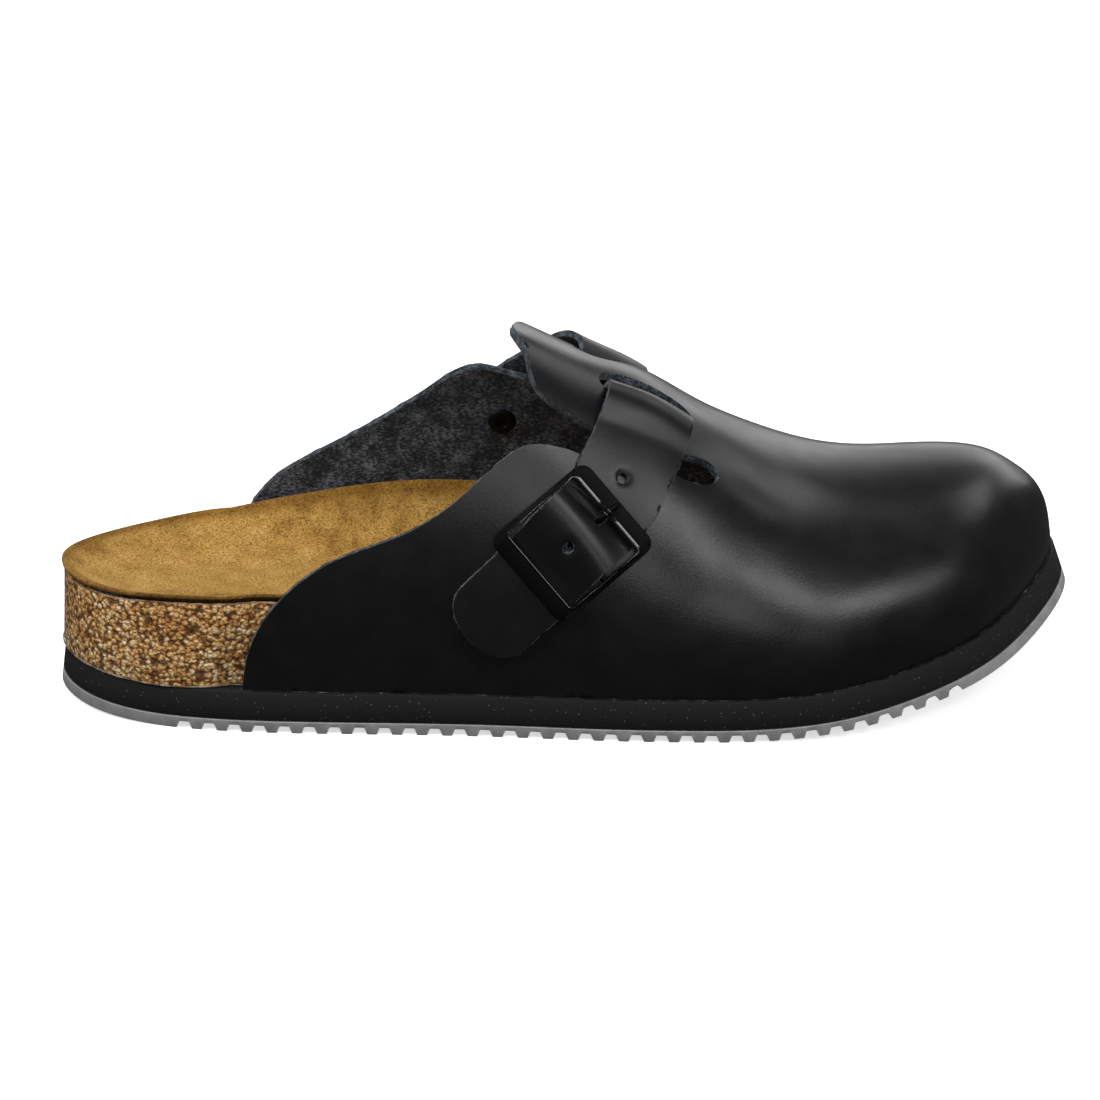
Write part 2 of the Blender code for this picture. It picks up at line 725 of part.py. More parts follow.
def make_upper(material):
    """Black leather shell: the flat pattern with its slits, lasted to shape, one wall thick."""
    free, _, _ = through(FREE_EDGE, 0.0042)
    lowest = np.hypot(*free[[-1, 0]].T)
    rows = np.arange(0.055, lowest.min() - 0.02, 0.055)
    feather_q = np.concatenate([rows[::-1], [0], -rows])
    feather_line = np.stack([0 * feather_q, feather_q], axis=1)
    outline = np.concatenate([free, feather_line])
    middle, along, across = STRAP.frame(np.array([STRAP.row(RIVET_ROW)]))
    ring = hole_loop(RIVET_HOLE)
    rivet_hole = middle + along * ring[:, :1] + across * ring[:, 1:]
    loops = [outline, slit_loop(FAR_SLIT_ROW), slit_loop(NEAR_SLIT_ROW), rivet_hole]
    filling = []
    for number, reach in enumerate(np.arange(0.055, 2.6, 0.055)):
        count = int(round(7 + 29 * min(1, reach)))
        turn = (np.arange(count) + 0.5 * (number % 2) + 0.25) / count * 2 - 1
        angle = turn * math.pi / 2
        filling.append(np.stack([reach * np.cos(angle), reach * np.sin(angle)], axis=1))
    flat, faces = cut_sheet(loops, np.concatenate(filling), 0.022)
    outer = upper_surface(*flat.T)
    normals = upper_normal(*flat.T)
    inner = outer - normals * UPPER_WALL
    return closed_body("upper", outer, inner, faces, material)


def strap_outline():
    """Strap cut flat: along its line and across it, with rounded ends, and its holes."""
    half = STRAP_WIDTH / 2
    end = STRAP.length
    turn = np.linspace(-math.pi / 2, math.pi / 2, 13)
    curve = half * STRAP_END_DEPTH * (1 - np.cos(turn))
    tip = np.stack([end - curve, half * np.sin(turn)], axis=1)
    root = np.stack([curve, -half * np.sin(turn)], axis=1)
    side = np.arange(half, end - half, 0.003)
    lower = np.stack([side, 0 * side - half], axis=1)
    upper = np.stack([side[::-1], 0 * side + half], axis=1)
    outline = np.concatenate([root, lower, tip, upper])
    before, prong, after = strap_hole_places()
    holes = [hole_loop(RIVET_HOLE) + (STRAP.row(RIVET_ROW), 0)]
    holes += [hole_loop(STRAP_HOLE) + (place, 0) for place in (before, after)]
    slot = hole_loop(STRAP_HOLE, 16) * (PRONG_HOLE_LENGTH / STRAP_HOLE, 1) + (prong, 0)
    return [outline, slot, *holes]


def make_strap(material):
    """Leather strap, threaded through both slits and over the buckle's centre bar."""
    loops = strap_outline()
    filling = grid((0, -STRAP_WIDTH / 2), (STRAP.length, STRAP_WIDTH / 2), (0.0024, 0.0052))
    flat, faces = cut_sheet(loops, filling, 0.0014)
    at, across = flat.T
    spot = STRAP.place(at, across)
    middle = upper_surface(*spot.T) + upper_normal(*spot.T) * strap_rise(at)[:, None]
    normals = point_normals(middle, faces)
    half = normals * STRAP_THICKNESS / 2
    return closed_body("strap", middle + half, middle - half, faces, material)


def buckle_frame_axes():
    """Centre on the upper under the buckle, and its directions: to the strap's tip, across, out."""
    at = np.array([STRAP.row(BUCKLE_ROW)])
    middle, along, _ = STRAP.frame(at)
    centre = upper_surface(*middle.T)[0]
    out = upper_normal(*middle.T)[0]
    step = 1e-3
    ahead = upper_surface(*(middle + along * step).T)[0] - centre
    ahead -= out * np.dot(ahead, out)
    ahead /= np.linalg.norm(ahead)
    return centre, ahead, np.cross(out, ahead), out


def rounded_box(low, high, corner, count=5):
    """Loop of a box with round corners."""
    loop = []
    for i, (x, y) in enumerate(((high[0], high[1]), (low[0], high[1]), (low[0], low[1]),
                                (high[0], low[1]))):
        cx = x - math.copysign(corner, x - (low[0] + high[0]) / 2)
        cy = y - math.copysign(corner, y - (low[1] + high[1]) / 2)
        for k in range(count):
            angle = (i + k / (count - 1)) * math.pi / 2
            loop.append((cx + corner * math.cos(angle), cy + corner * math.sin(angle)))
    return np.array(loop)


def make_buckle_frame(material):
    """Metal frame: end bars over the strap, centre bar under it, side bars beside it."""
    inner = STRAP_WIDTH / 2 + BUCKLE_PLAY
    outer = inner + BUCKLE_SIDE_BAR
    half = BUCKLE_LENGTH / 2
    window = half - BUCKLE_END_BAR
    bar = BUCKLE_CENTRE_BAR / 2
    corner = BUCKLE_CORNER / 3
    loops = [
        rounded_box((-half, -outer), (half, outer), BUCKLE_CORNER),
        rounded_box((bar, -inner), (window, inner), corner, 3),
        rounded_box((-window, -inner), (-bar, inner), corner, 3),
    ]
    flat, faces = cut_sheet(loops, np.zeros((1, 2)), 0.5)
    centre, ahead, side, out = buckle_frame_axes()
    low = centre + flat[:, :1] * ahead + flat[:, 1:] * side + BUCKLE_SEAT * out
    return closed_body("buckle_frame", low + BUCKLE_THICKNESS * out, low, faces, material)


def tube(name, path, widths, across, material, sides=10):
    """Round bar along a path in one plane, with the plane's normal given, and round ends."""
    path = np.asarray(path)
    tangent = np.gradient(path, axis=0)
    tangent /= np.linalg.norm(tangent, axis=1, keepdims=True)
    up = np.cross(tangent, across)
    angle = np.arange(sides) * 2 * math.pi / sides
    rings = (path[:, None] + widths[:, None, None] / 2 * (np.cos(angle)[None, :, None] * across
             + np.sin(angle)[None, :, None] * up[:, None]))
    points = rings.reshape(-1, 3)
    faces = []
    for i in range(len(path) - 1):
        for k in range(sides):
            m = (k + 1) % sides
            faces.append((i * sides + k, i * sides + m, (i + 1) * sides + m, (i + 1) * sides + k))
    faces.append(tuple(range(sides))[::-1])
    faces.append(tuple((len(path) - 1) * sides + k for k in range(sides)))
    return solid(name, points, faces, material)


def make_buckle_prong(material):
    """Prong: a hook round the centre bar, then up through the strap and onto the end bar."""
    centre, ahead, side, out = buckle_frame_axes()
    middle = BUCKLE_SEAT + BUCKLE_THICKNESS / 2
    reach = math.hypot(BUCKLE_CENTRE_BAR, BUCKLE_THICKNESS) / 2 + BUCKLE_CLEARANCE + PRONG_EYE / 2
    hook = np.radians(np.linspace(20, -160, 9))
    rest = BUCKLE_SEAT + BUCKLE_THICKNESS + BUCKLE_CLEARANCE + PRONG_DIAMETER / 2
    window = BUCKLE_LENGTH / 2 - BUCKLE_END_BAR
    low = STRAP_GAP + PRONG_DIAMETER / 2
    path = [(reach * math.cos(angle), middle + reach * math.sin(angle)) for angle in hook]
    path += [(-along * window, low + climb * (rest - low)) for along, climb in PRONG_PATH]
    path = np.array(path)
    widths = np.full(len(path), PRONG_DIAMETER)
    widths[:len(hook)] = PRONG_EYE
    widths[-1] = PRONG_DIAMETER * 0.6
    places = centre + path[:, :1] * ahead + path[:, 1:] * out
    return tube("buckle_prong", places, widths, side, material)


def make_rivet(material):
    """Rivet turned about its own axis: a head over the strap, a shank and a head inside the quarter."""
    at = np.array([STRAP.row(RIVET_ROW)])
    middle, _, _ = STRAP.frame(at)
    centre = upper_surface(*middle.T)[0]
    out = upper_normal(*middle.T)[0]
    top = STRAP_GAP + STRAP_THICKNESS + RIVET_CLEARANCE
    under = -(UPPER_WALL + RIVET_CLEARANCE)
    head = RIVET_HEAD / 2
    shank = RIVET_SHANK / 2
    profile = [
        (head * 0.55, top + RIVET_HEAD_THICKNESS), (head * 0.9, top + RIVET_HEAD_THICKNESS * 0.7),
        (head, top), (shank, top), (shank, under), (head, under),
        (head * 0.9, under - RIVET_HEAD_THICKNESS * 0.7), (head * 0.55, under - RIVET_HEAD_THICKNESS),
    ]
    side = np.cross(out, (0, 0, 1.0))
    side /= np.linalg.norm(side)
    other = np.cross(out, side)
    count = 16
    angle = np.arange(count) * 2 * math.pi / count
    points = []
    for radius, height in profile:
        for turn in angle:
            points.append(centre + radius * (math.cos(turn) * side + math.sin(turn) * other)
                          + height * out)
    faces = []
    for i in range(len(profile) - 1):
        for k in range(count):
            m = (k + 1) % count
            faces.append((i * count + k, i * count + m, (i + 1) * count + m, (i + 1) * count + k))
    faces.append(tuple(range(count))[::-1])
    faces.append(tuple((len(profile) - 1) * count + k for k in range(count)))
    return solid("rivet", np.array(points), faces, material)


def main():
    for thing in list(bpy.data.objects):
        bpy.data.objects.remove(thing)
    leather = finish("black smooth leather", (0.008, 0.008, 0.009), 0.42)
    make_outsole(finish("grey moulded rubber", (0.27, 0.27, 0.27), 0.7))
    make_midsole(finish("black foam", (0.012, 0.012, 0.013), 0.75))
    make_footbed(finish("lacquered cork", (0.35, 0.14, 0.045), 0.35))
    make_insole(finish("tan suede", (0.48, 0.27, 0.08), 0.95))
    make_upper(leather)
    make_strap(finish("black strap leather", (0.009, 0.009, 0.010), 0.42))
    metal = finish("black lacquered metal", (0.010, 0.010, 0.011), 0.2, 0.6)
    make_buckle_frame(metal)
    make_buckle_prong(finish("black lacquered prong", (0.010, 0.010, 0.011), 0.2, 0.6))
    make_rivet(finish("black lacquered rivet", (0.010, 0.010, 0.011), 0.3, 0.6))


main()
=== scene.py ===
"""Chef clog, as seen: a right shoe of black leather on a cork footbed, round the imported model.

Metres. +X runs to the toe, +Y to the inner (medial) side of the foot, +Z up. Stations are shares of
the sole's length, and turns go round the foot from the lateral feather edge (-1) over the ridge (0)
to the medial feather edge (1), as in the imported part. The sizes and tables down to the footbed's
are the part's own, and the sizes of the finish come after them.
"""
import math

import bpy
import numpy as np
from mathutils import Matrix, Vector
from mathutils.geometry import delaunay_2d_cdt


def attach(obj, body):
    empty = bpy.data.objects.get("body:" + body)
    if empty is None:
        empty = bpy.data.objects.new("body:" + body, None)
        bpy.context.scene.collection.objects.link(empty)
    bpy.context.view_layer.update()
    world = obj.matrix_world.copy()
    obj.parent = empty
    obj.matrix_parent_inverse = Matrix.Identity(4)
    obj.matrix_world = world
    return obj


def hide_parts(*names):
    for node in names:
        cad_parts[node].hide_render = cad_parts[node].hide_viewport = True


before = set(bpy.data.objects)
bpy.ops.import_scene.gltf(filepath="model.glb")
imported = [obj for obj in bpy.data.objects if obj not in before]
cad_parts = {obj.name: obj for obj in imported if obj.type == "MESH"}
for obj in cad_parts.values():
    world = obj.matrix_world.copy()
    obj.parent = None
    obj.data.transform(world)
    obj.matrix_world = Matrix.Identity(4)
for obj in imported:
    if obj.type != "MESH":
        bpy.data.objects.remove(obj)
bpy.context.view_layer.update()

bl_info = {
    "name": "Chef clog",
    "version": (1, 0, 0),
    "blender": (4, 5, 0),
    "location": "View3D > Sidebar > Clog",
    "description": "Builds the visible pieces of a chef clog round its packed model",
    "category": "Add Mesh",
}

MM = 0.001

# Sole
SOLE_LENGTH = 0.2915
HEEL_REACH = 0.0383
BALL_WIDTH = 0.104
TOE_SPRING = 0.0190
TOE_SPRING_START = 0.142
HEEL_SPRING = 0.0020
HEEL_SPRING_START = -0.004
OUTSOLE_WEB = 0.0015
LUG_DEPTH = 0.0020
LUG_PITCH = 0.0070
LUG_FLAT = 0.0027
LUG_ROOT = 0.0043
LUG_LAST = 0.217
MIDSOLE_THICKNESS = 0.0083
SEAM_GAP = 0.0003

# Footbed and insole
HEEL_RIM_HEIGHT = 0.0410
INSOLE_THICKNESS = 0.0018
INSOLE_OVERHANG = 0.0008
INSOLE_SEAM = 0.0006
HEEL_EDGE_INSET = -0.0006
DISH_WIDTH = 0.026
DISH_POWER = 2.2
RIM_INSET = 0.0034
HEEL_CLEAR_START = -0.0235
HEEL_CLEAR_RUN = 0.027
RIM_LAG = 0.0075
LATERAL_LAG = 0.0055
TOE_CLEAR_START = 0.200
TOE_CLEAR = 0.004

# Upper
UPPER_RISE = 0.0963
UPPER_WALL = 0.0027
FEATHER_LEDGE = 0.0011
FEATHER_BULGE = 0.0020

# Strap, its two slits and its holes
STRAP_WIDTH = 0.025
STRAP_THICKNESS = 0.0020
STRAP_GAP = 0.0005
STRAP_TONGUE_GAP = 0.0012
STRAP_END_DEPTH = 0.8
STRAP_HOLE = 0.0033
STRAP_HOLE_PITCH = 0.0132
SLIT_LENGTH = 0.030
SLIT_OPENING = 0.0108
SLIT_PASSAGE = 0.0092
SLIT_END_POWER = 0.4
SLIT_SIDE_POWER = 0.9

# Buckle and rivet
BUCKLE_LENGTH = 0.0345
BUCKLE_SIDE_BAR = 0.0018
BUCKLE_END_BAR = 0.0052
BUCKLE_CENTRE_BAR = 0.0018
BUCKLE_THICKNESS = 0.0018
BUCKLE_CORNER = 0.0035
BUCKLE_SEAT = 0.0030
BUCKLE_PLAY = 0.0011
STRAP_CREST = 0.0058
STRAP_CREST_PLACE = 0.0030
STRAP_BRIDGE = 0.0022
STRAP_BRIDGE_REACH = 0.017
STRAP_CURL = 0.0024
STRAP_CURL_REACH = 0.0100
PRONG_DIAMETER = 0.0018
PRONG_HOLE_LENGTH = 0.0050
PRONG_HOLE_PLACE = 0.0098
RIVET_HEAD = 0.0080
RIVET_HEAD_THICKNESS = 0.0012
RIVET_SHANK = 0.0030
RIVET_HOLE = 0.0038
RIVET_CLEARANCE = 0.00045

# The strap curls and leaves the near slit a little later here than in the part, so that the cut
# edge of the slit's far lip shows
STRAP_CURL_PLACE = 0.0092
STRAP_LAG = 0.0014

HEEL_BACK = -HEEL_REACH
TOE_TIP = SOLE_LENGTH - HEEL_REACH
OUTSOLE_THICKNESS = OUTSOLE_WEB + LUG_DEPTH
MIDSOLE_FOOT = OUTSOLE_THICKNESS + SEAM_GAP
MIDSOLE_TOP = MIDSOLE_FOOT + MIDSOLE_THICKNESS
SEAT = MIDSOLE_TOP + SEAM_GAP

# Station, then lateral and medial half breadth as shares of the ball width
SOLE_OUTLINE = (
    (0.035, 0.192, 0.207),
    (0.080, 0.277, 0.284),
    (0.170, 0.353, 0.332),
    (0.290, 0.394, 0.332),
    (0.420, 0.435, 0.327),
    (0.520, 0.480, 0.356),
    (0.640, 0.513, 0.438),
    (0.750, 0.508, 0.486),
    (0.830, 0.433, 0.492),
    (0.910, 0.285, 0.476),
    (0.960, 0.093, 0.423),
)
HEEL_POINT = 0.029
TOE_POINT = 0.221

# Station, height of the ridge above the feather edge as a share of the rise, ridge's place between
# the feather edges (0 lateral, 1 medial), and the fullness of the lateral and of the medial side of
# the section (2 is an ellipse)
RIDGE = (
    (0.060, 1.1200, 0.50, 2.2, 2.8),
    (0.180, 1.1000, 0.50, 2.2, 2.8),
    (0.300, 1.0600, 0.50, 2.2, 2.9),
    (0.442, 0.9860, 0.52, 2.1, 3.0),
    (0.476, 0.9370, 0.54, 2.1, 2.8),
    (0.527, 0.8640, 0.56, 2.1, 2.5),
    (0.569, 0.8140, 0.58, 2.1, 2.3),
    (0.620, 0.7130, 0.60, 2.1, 2.2),
    (0.670, 0.6250, 0.62, 2.2, 2.2),
    (0.716, 0.5540, 0.64, 2.2, 2.2),
    (0.752, 0.5070, 0.65, 2.3, 2.2),
    (0.800, 0.4650, 0.65, 2.4, 2.2),
    (0.851, 0.4320, 0.64, 2.4, 2.3),
    (0.895, 0.3990, 0.62, 2.4, 2.3),
    (0.937, 0.3410, 0.58, 2.3, 2.3),
    (0.961, 0.2810, 0.55, 2.2, 2.2),
    (0.980, 0.2190, 0.53, 2.1, 2.1),
    (0.991, 0.1620, 0.51, 2.1, 2.1),
    (0.997, 0.1040, 0.50, 2.1, 2.1),
)

# Upper's free edge, as station and turn: lateral quarter, throat notch, tongue, medial notch and
# medial quarter
FREE_EDGE = (
    (0.175, -1.000),
    (0.179, -0.950),
    (0.191, -0.890),
    (0.219, -0.822),
    (0.260, -0.763),
    (0.329, -0.705),
    (0.380, -0.635),
    (0.419, -0.545),
    (0.446, -0.485),
    (0.472, -0.456),
    (0.498, -0.450),
    (0.545, -0.440),
    (0.596, -0.420),
    (0.627, -0.395),
    (0.637, -0.353),
    (0.627, -0.316),
    (0.604, -0.333),
    (0.560, -0.352),
    (0.516, -0.355),
    (0.480, -0.330),
    (0.462, -0.295),
    (0.457, -0.230),
    (0.454, -0.140),
    (0.446, -0.050),
    (0.443, 0.030),
    (0.447, 0.120),
    (0.454, 0.200),
    (0.459, 0.275),
    (0.470, 0.330),
    (0.495, 0.365),
    (0.540, 0.380),
    (0.590, 0.365),
    (0.627, 0.325),
    (0.639, 0.367),
    (0.628, 0.410),
    (0.596, 0.440),
    (0.545, 0.475),
    (0.498, 0.505),
    (0.463, 0.520),
    (0.438, 0.529),
    (0.415, 0.533),
    (0.388, 0.562),
    (0.361, 0.605),
    (0.336, 0.637),
    (0.286, 0.693),
    (0.235, 0.745),
    (0.210, 0.777),
    (0.191, 0.818),
    (0.172, 0.880),
    (0.160, 0.940),
    (0.155, 1.000),
)

# Middle of the strap, as station and turn, from its riveted medial end to its lateral tip, and the
# rows that lie at its fittings
STRAP_PATH = (
    (0.404, 0.712),
    (0.420, 0.677),
    (0.438, 0.640),
    (0.476, 0.545),
    (0.510, 0.430),
    (0.535, 0.300),
    (0.550, 0.190),
    (0.566, 0.030),
    (0.569, -0.146),
    (0.562, -0.300),
    (0.551, -0.410),
    (0.540, -0.483),
    (0.532, -0.536),
    (0.520, -0.589),
    (0.491, -0.665),
    (0.4515, -0.771),
    (0.416, -0.848),
    (0.395, -0.892),
)
RIVET_ROW = 2
NOTCH_ROW = 4
FAR_SLIT_ROW = 6
NEAR_SLIT_ROW = 8
BUCKLE_ROW = 14

# Prong behind its hook: place as a share of the window, and climb from under the strap onto the
# bar. Its tip bends down a little further than in the part
PRONG_PATH = (
    (0.30, 0.15),
    (0.42, 0.00),
    (0.53, 0.00),
    (0.64, 0.13),
    (0.93, 0.98),
    (1.00, 1.00),
    (1.20, 1.00),
    (1.33, 0.97),
    (1.40, 0.88),
)

# Station, then height of the insole over the tread along the middle, the lateral rim and the medial
# rim, as shares of the heel rim's height
FOOTBED = (
    (0.00, 0.820, 0.910, 0.910),
    (0.05, 0.812, 0.950, 0.932),
    (0.10, 0.805, 0.988, 0.968),
    (0.19, 0.800, 0.990, 1.090),
    (0.24, 0.800, 0.990, 1.160),
    (0.33, 0.790, 0.976, 1.260),
    (0.42, 0.750, 0.915, 1.250),
    (0.55, 0.600, 0.730, 0.960),
    (0.66, 0.500, 0.610, 0.640),
    (0.80, 0.480, 0.560, 0.560),
    (1.00, 0.440, 0.460, 0.460),
)

UPPER_SPACING = 0.0017
STRAP_SPACING = 0.0008
FREE_EDGE_SPACING = 0.0012
SLIT_SPACING = 0.0010
FEATHER_POINTS = 620

# Cut edge of the leather: shares of the wall where its rows lie, its bulge at the faces and how
# much more it has in the middle
CUT_DEPTHS = (0.10, 0.30, 0.52, 0.74, 0.92)
CUT_BULGE = 0.00006
CUT_BULGE_MIDDLE = 0.00014
FUZZ_SEED = 7

# Angles from the toe tip by which the flat pattern holds all of the upper, and up to which it is
# filled with points
PATTERN_END = 2.9
PATTERN_FILLED = 2.75

# Tread: how round the corners of a lug are
LUG_EASE = 0.00012

# Squeezed-out cement: how far it stands out of its seam and over it, then its thickness, its
# unevenness, and the two wave counts and the lag of the sines round the sole
SEAM_CEMENT_PLACE = (0.0001, 0.00015)
SEAM_CEMENT = (0.00022, 0.00010, 61, 23, 1)
CORK_CEMENT_PLACE = (0.00015, 0.0002)
CORK_CEMENT = (0.00024, 0.00008, 57, 19, 2)

# Punched holes of the strap: how far the leather sinks round them, and over what width
HOLE_SINK = 0.00035
HOLE_SINK_WIDTH = 0.0007

# Buckle: step down to its flange, extra height of the bar that the prong rests on, half width of
# the prong's notch in it, ease of the edges, where and over what run the rim grows to that bar, and
# how far the centre bar runs into the sides
FLANGE_STEP = 0.0006
REST_RISE = 0.0006
NOTCH_HALF = 0.0012
BUCKLE_EASE = 0.00025
REST_START = 0.0030
REST_RUN = 0.0020
BAR_SUNK = 0.0004

# Prong: half thickness of its hook and the hook's gap round the centre bar, gap over the flange,
# the radius, half thickness and places of its collars, and the thickness of its tip as a share of
# the prong's, with the length over which the tip rounds off
HOOK_HALF = 0.0004
HOOK_GAP = 0.0005
PRONG_GAP = 0.0001
COLLAR_RADIUS = 0.00120
COLLAR_HALF = 0.00036
COLLARS_BACK = (0.0002, 0.0014)
PRONG_TIP = 0.72
PRONG_TIP_ROUND = 0.0004


def smooth_curve(knots, values, closed=False):
    """Cubic curve through the values, with free ends, or joined smoothly when closed."""
    x = np.asarray(knots, float)
    y = np.asarray(values, float)
    count = len(x)
    step = np.diff(x)
    rise = np.diff(y) / step
    system = np.zeros((count, count))
    target = np.zeros(count)
    for i in range(1, count - 1):
        system[i, i - 1:i + 2] = step[i - 1], 2 * (step[i - 1] + step[i]), step[i]
        target[i] = 6 * (rise[i] - rise[i - 1])
    system[0, 0] = 1
    system[-1, -1] = 1
    if closed:
        system[0, -1] = -1
        system[-1, [-2, -1, 1]] = step[-1], 2 * (step[-1] + step[0]), step[0]
        target[-1] = 6 * (rise[0] - rise[-1])
    bend = np.linalg.solve(system, target)

    def at(place):
        """Value of the curve at places along it."""
        place = np.asarray(place, float)
        i = np.clip(np.searchsorted(x, place) - 1, 0, count - 2)
        a = (x[i + 1] - place) / step[i]
        b = 1 - a
        curve = ((a**3 - a) * bend[i] + (b**3 - b) * bend[i + 1]) * step[i]**2 / 6
        return a * y[i] + b * y[i + 1] + curve

    return at


def station_angle(station):
    """Angle from the heel back (0) to the toe tip (pi) that a station has on the outline."""
    return np.arccos(np.clip(1 - 2 * np.asarray(station, float), -1, 1))


def outline_breadth():
    """Breadth of the sole's edge, as a curve of the angle round it: medial side first."""
    rows = np.array(SOLE_OUTLINE)
    angles = station_angle(rows[:, 0])
    knots = np.concatenate(([0], angles, [math.pi], 2 * math.pi - angles[::-1], [2 * math.pi]))
    medial = rows[:, 2]
    lateral = -rows[::-1, 1]
    values = np.concatenate(([HEEL_POINT], medial, [TOE_POINT], lateral, [HEEL_POINT]))
    return smooth_curve(knots, values, closed=True)


BREADTH = outline_breadth()


def sole_edge(angle, inset=0.0):
    """Plan point of the sole's edge at an angle round it, moved inward by the inset."""
    angle = np.mod(angle, 2 * math.pi)
    step = 1e-4
    x = HEEL_BACK + SOLE_LENGTH * (1 - np.cos(angle)) / 2
    y = BALL_WIDTH * BREADTH(angle)
    along = SOLE_LENGTH * np.sin(angle) / 2
    across = BALL_WIDTH * (BREADTH(np.mod(angle + step, 2 * math.pi)) - BREADTH(angle)) / step
    size = np.hypot(along, across)
    return x + inset * across / size, y - inset * along / size


def spring(x):
    """Lift of the tread over the floor, and its slope."""
    toe_run = TOE_TIP - TOE_SPRING_START
    heel_run = HEEL_SPRING_START - HEEL_BACK
    toe = np.clip((x - TOE_SPRING_START) / toe_run, 0, None)
    heel = np.clip((HEEL_SPRING_START - x) / heel_run, 0, None)
    lift = TOE_SPRING * toe**2 + HEEL_SPRING * heel**2
    slope = 2 * TOE_SPRING * toe / toe_run - 2 * HEEL_SPRING * heel / heel_run
    return lift, slope


def sole_point(x, y, height):
    """Point over a plan place of the tread, at a height measured square to the tread."""
    lift, slope = spring(x)
    cosine = 1 / np.sqrt(1 + slope**2)
    return np.stack([x - height * slope * cosine, y + 0 * x, lift + height * cosine], axis=-1)


def footbed_point(x, y, height):
    """Point over a plan place of the tread: square to it up to the seat, then straight up."""
    point = sole_point(x, y, SEAT)
    point[..., 2] += height - SEAT
    return point


def ridge_curves():
    """Rise, place and fullness of the upper's sections, as curves of the angle from the toe tip."""
    rows = np.array(RIDGE)[::-1]
    angle = math.pi - station_angle(rows[:, 0])
    rise = smooth_curve(np.append(0, angle), np.append(0, rows[:, 1]))
    return rise, *(smooth_curve(angle, rows[:, i]) for i in (2, 3, 4))


RISE, PLACE, LATERAL_FULLNESS, MEDIAL_FULLNESS = ridge_curves()


def feather(angle):
    """Lower outer edge of the upper, at an angle round the sole."""
    x, y = sole_edge(angle, FEATHER_LEDGE)
    return sole_point(x, y, SEAT)


def upper_surface(p, q):
    """Outer face of the upper. The polar angle of (p, q) is the turn about the foot, and its
    length the angle from the toe tip. Each section is two quarters of a superellipse, from the
    feather edge up to the ridge, with a low swell over the feather edge: 27/4 of up (1 - up)^2."""
    reach = np.maximum(np.hypot(p, q), 1e-7)
    turn = np.arctan2(q, p)
    lateral = feather(math.pi + reach)
    medial = feather(math.pi - reach)
    place = PLACE(reach)[..., None]
    crest = lateral + place * (medial - lateral)
    rise = (UPPER_RISE * RISE(reach))[..., None]
    side = np.where((turn < 0)[..., None], lateral, medial)
    power = np.where(turn < 0, LATERAL_FULLNESS(reach), MEDIAL_FULLNESS(reach))
    sine = np.sin(turn)
    cosine = np.cos(turn)
    size = (np.abs(sine)**power + np.abs(cosine)**power)**(1 / power)
    out = (np.abs(sine) / size)[..., None]
    up = (cosine / size)[..., None]
    away = side - crest
    away = away / np.maximum(np.linalg.norm(away, axis=-1, keepdims=True), 1e-9)
    swell = 6.75 * np.clip(up, 0, 1) * (1 - np.clip(up, 0, 1))**2
    point = crest + (side - crest) * out
    point = point + away * swell * FEATHER_BULGE * np.clip(reach / 0.08, 0, 1)[..., None]
    point[..., 2] = (crest + (side - crest) * out + rise * up)[..., 2]
    return point


def upper_normal(p, q):
    """Outward direction of the upper's face."""
    step = 1e-4
    along = upper_surface(p + step, q) - upper_surface(p - step, q)
    across = upper_surface(p, q + step) - upper_surface(p, q - step)
    normal = np.cross(along, across)
    normal = normal / np.linalg.norm(normal, axis=-1, keepdims=True)
    inward = np.array([TOE_TIP / 2, 0, SEAT]) - upper_surface(p, q)
    return np.where((normal * inward).sum(axis=-1, keepdims=True) > 0, -normal, normal)


def pattern(station, turn):
    """Drawing plane coordinates of a pattern point."""
    reach = math.pi - station_angle(station)
    angle = np.asarray(turn, float) * math.pi / 2
    return reach * np.cos(angle), reach * np.sin(angle)


def step_up(value):
    """Smooth step from 0 to 1."""
    value = np.clip(value, 0, 1)
    return value * value * (3 - 2 * value)


def through(rows, spacing):
    """Points at about the spacing (metres on the upper) along a smooth line through pattern rows,
    with the line's own parameter at each row."""
    rows = np.array(rows)
    knots = np.stack(pattern(rows[:, 0], rows[:, 1]), axis=1)
    places = upper_surface(*knots.T)
    run = np.concatenate([[0], np.cumsum(np.linalg.norm(np.diff(places, axis=0), axis=1))])
    p = smooth_curve(run, knots[:, 0])
    q = smooth_curve(run, knots[:, 1])
    at = np.linspace(0, run[-1], int(round(run[-1] / spacing)) + 1)
    return np.stack([p(at), q(at)], axis=1), run, (p, q)


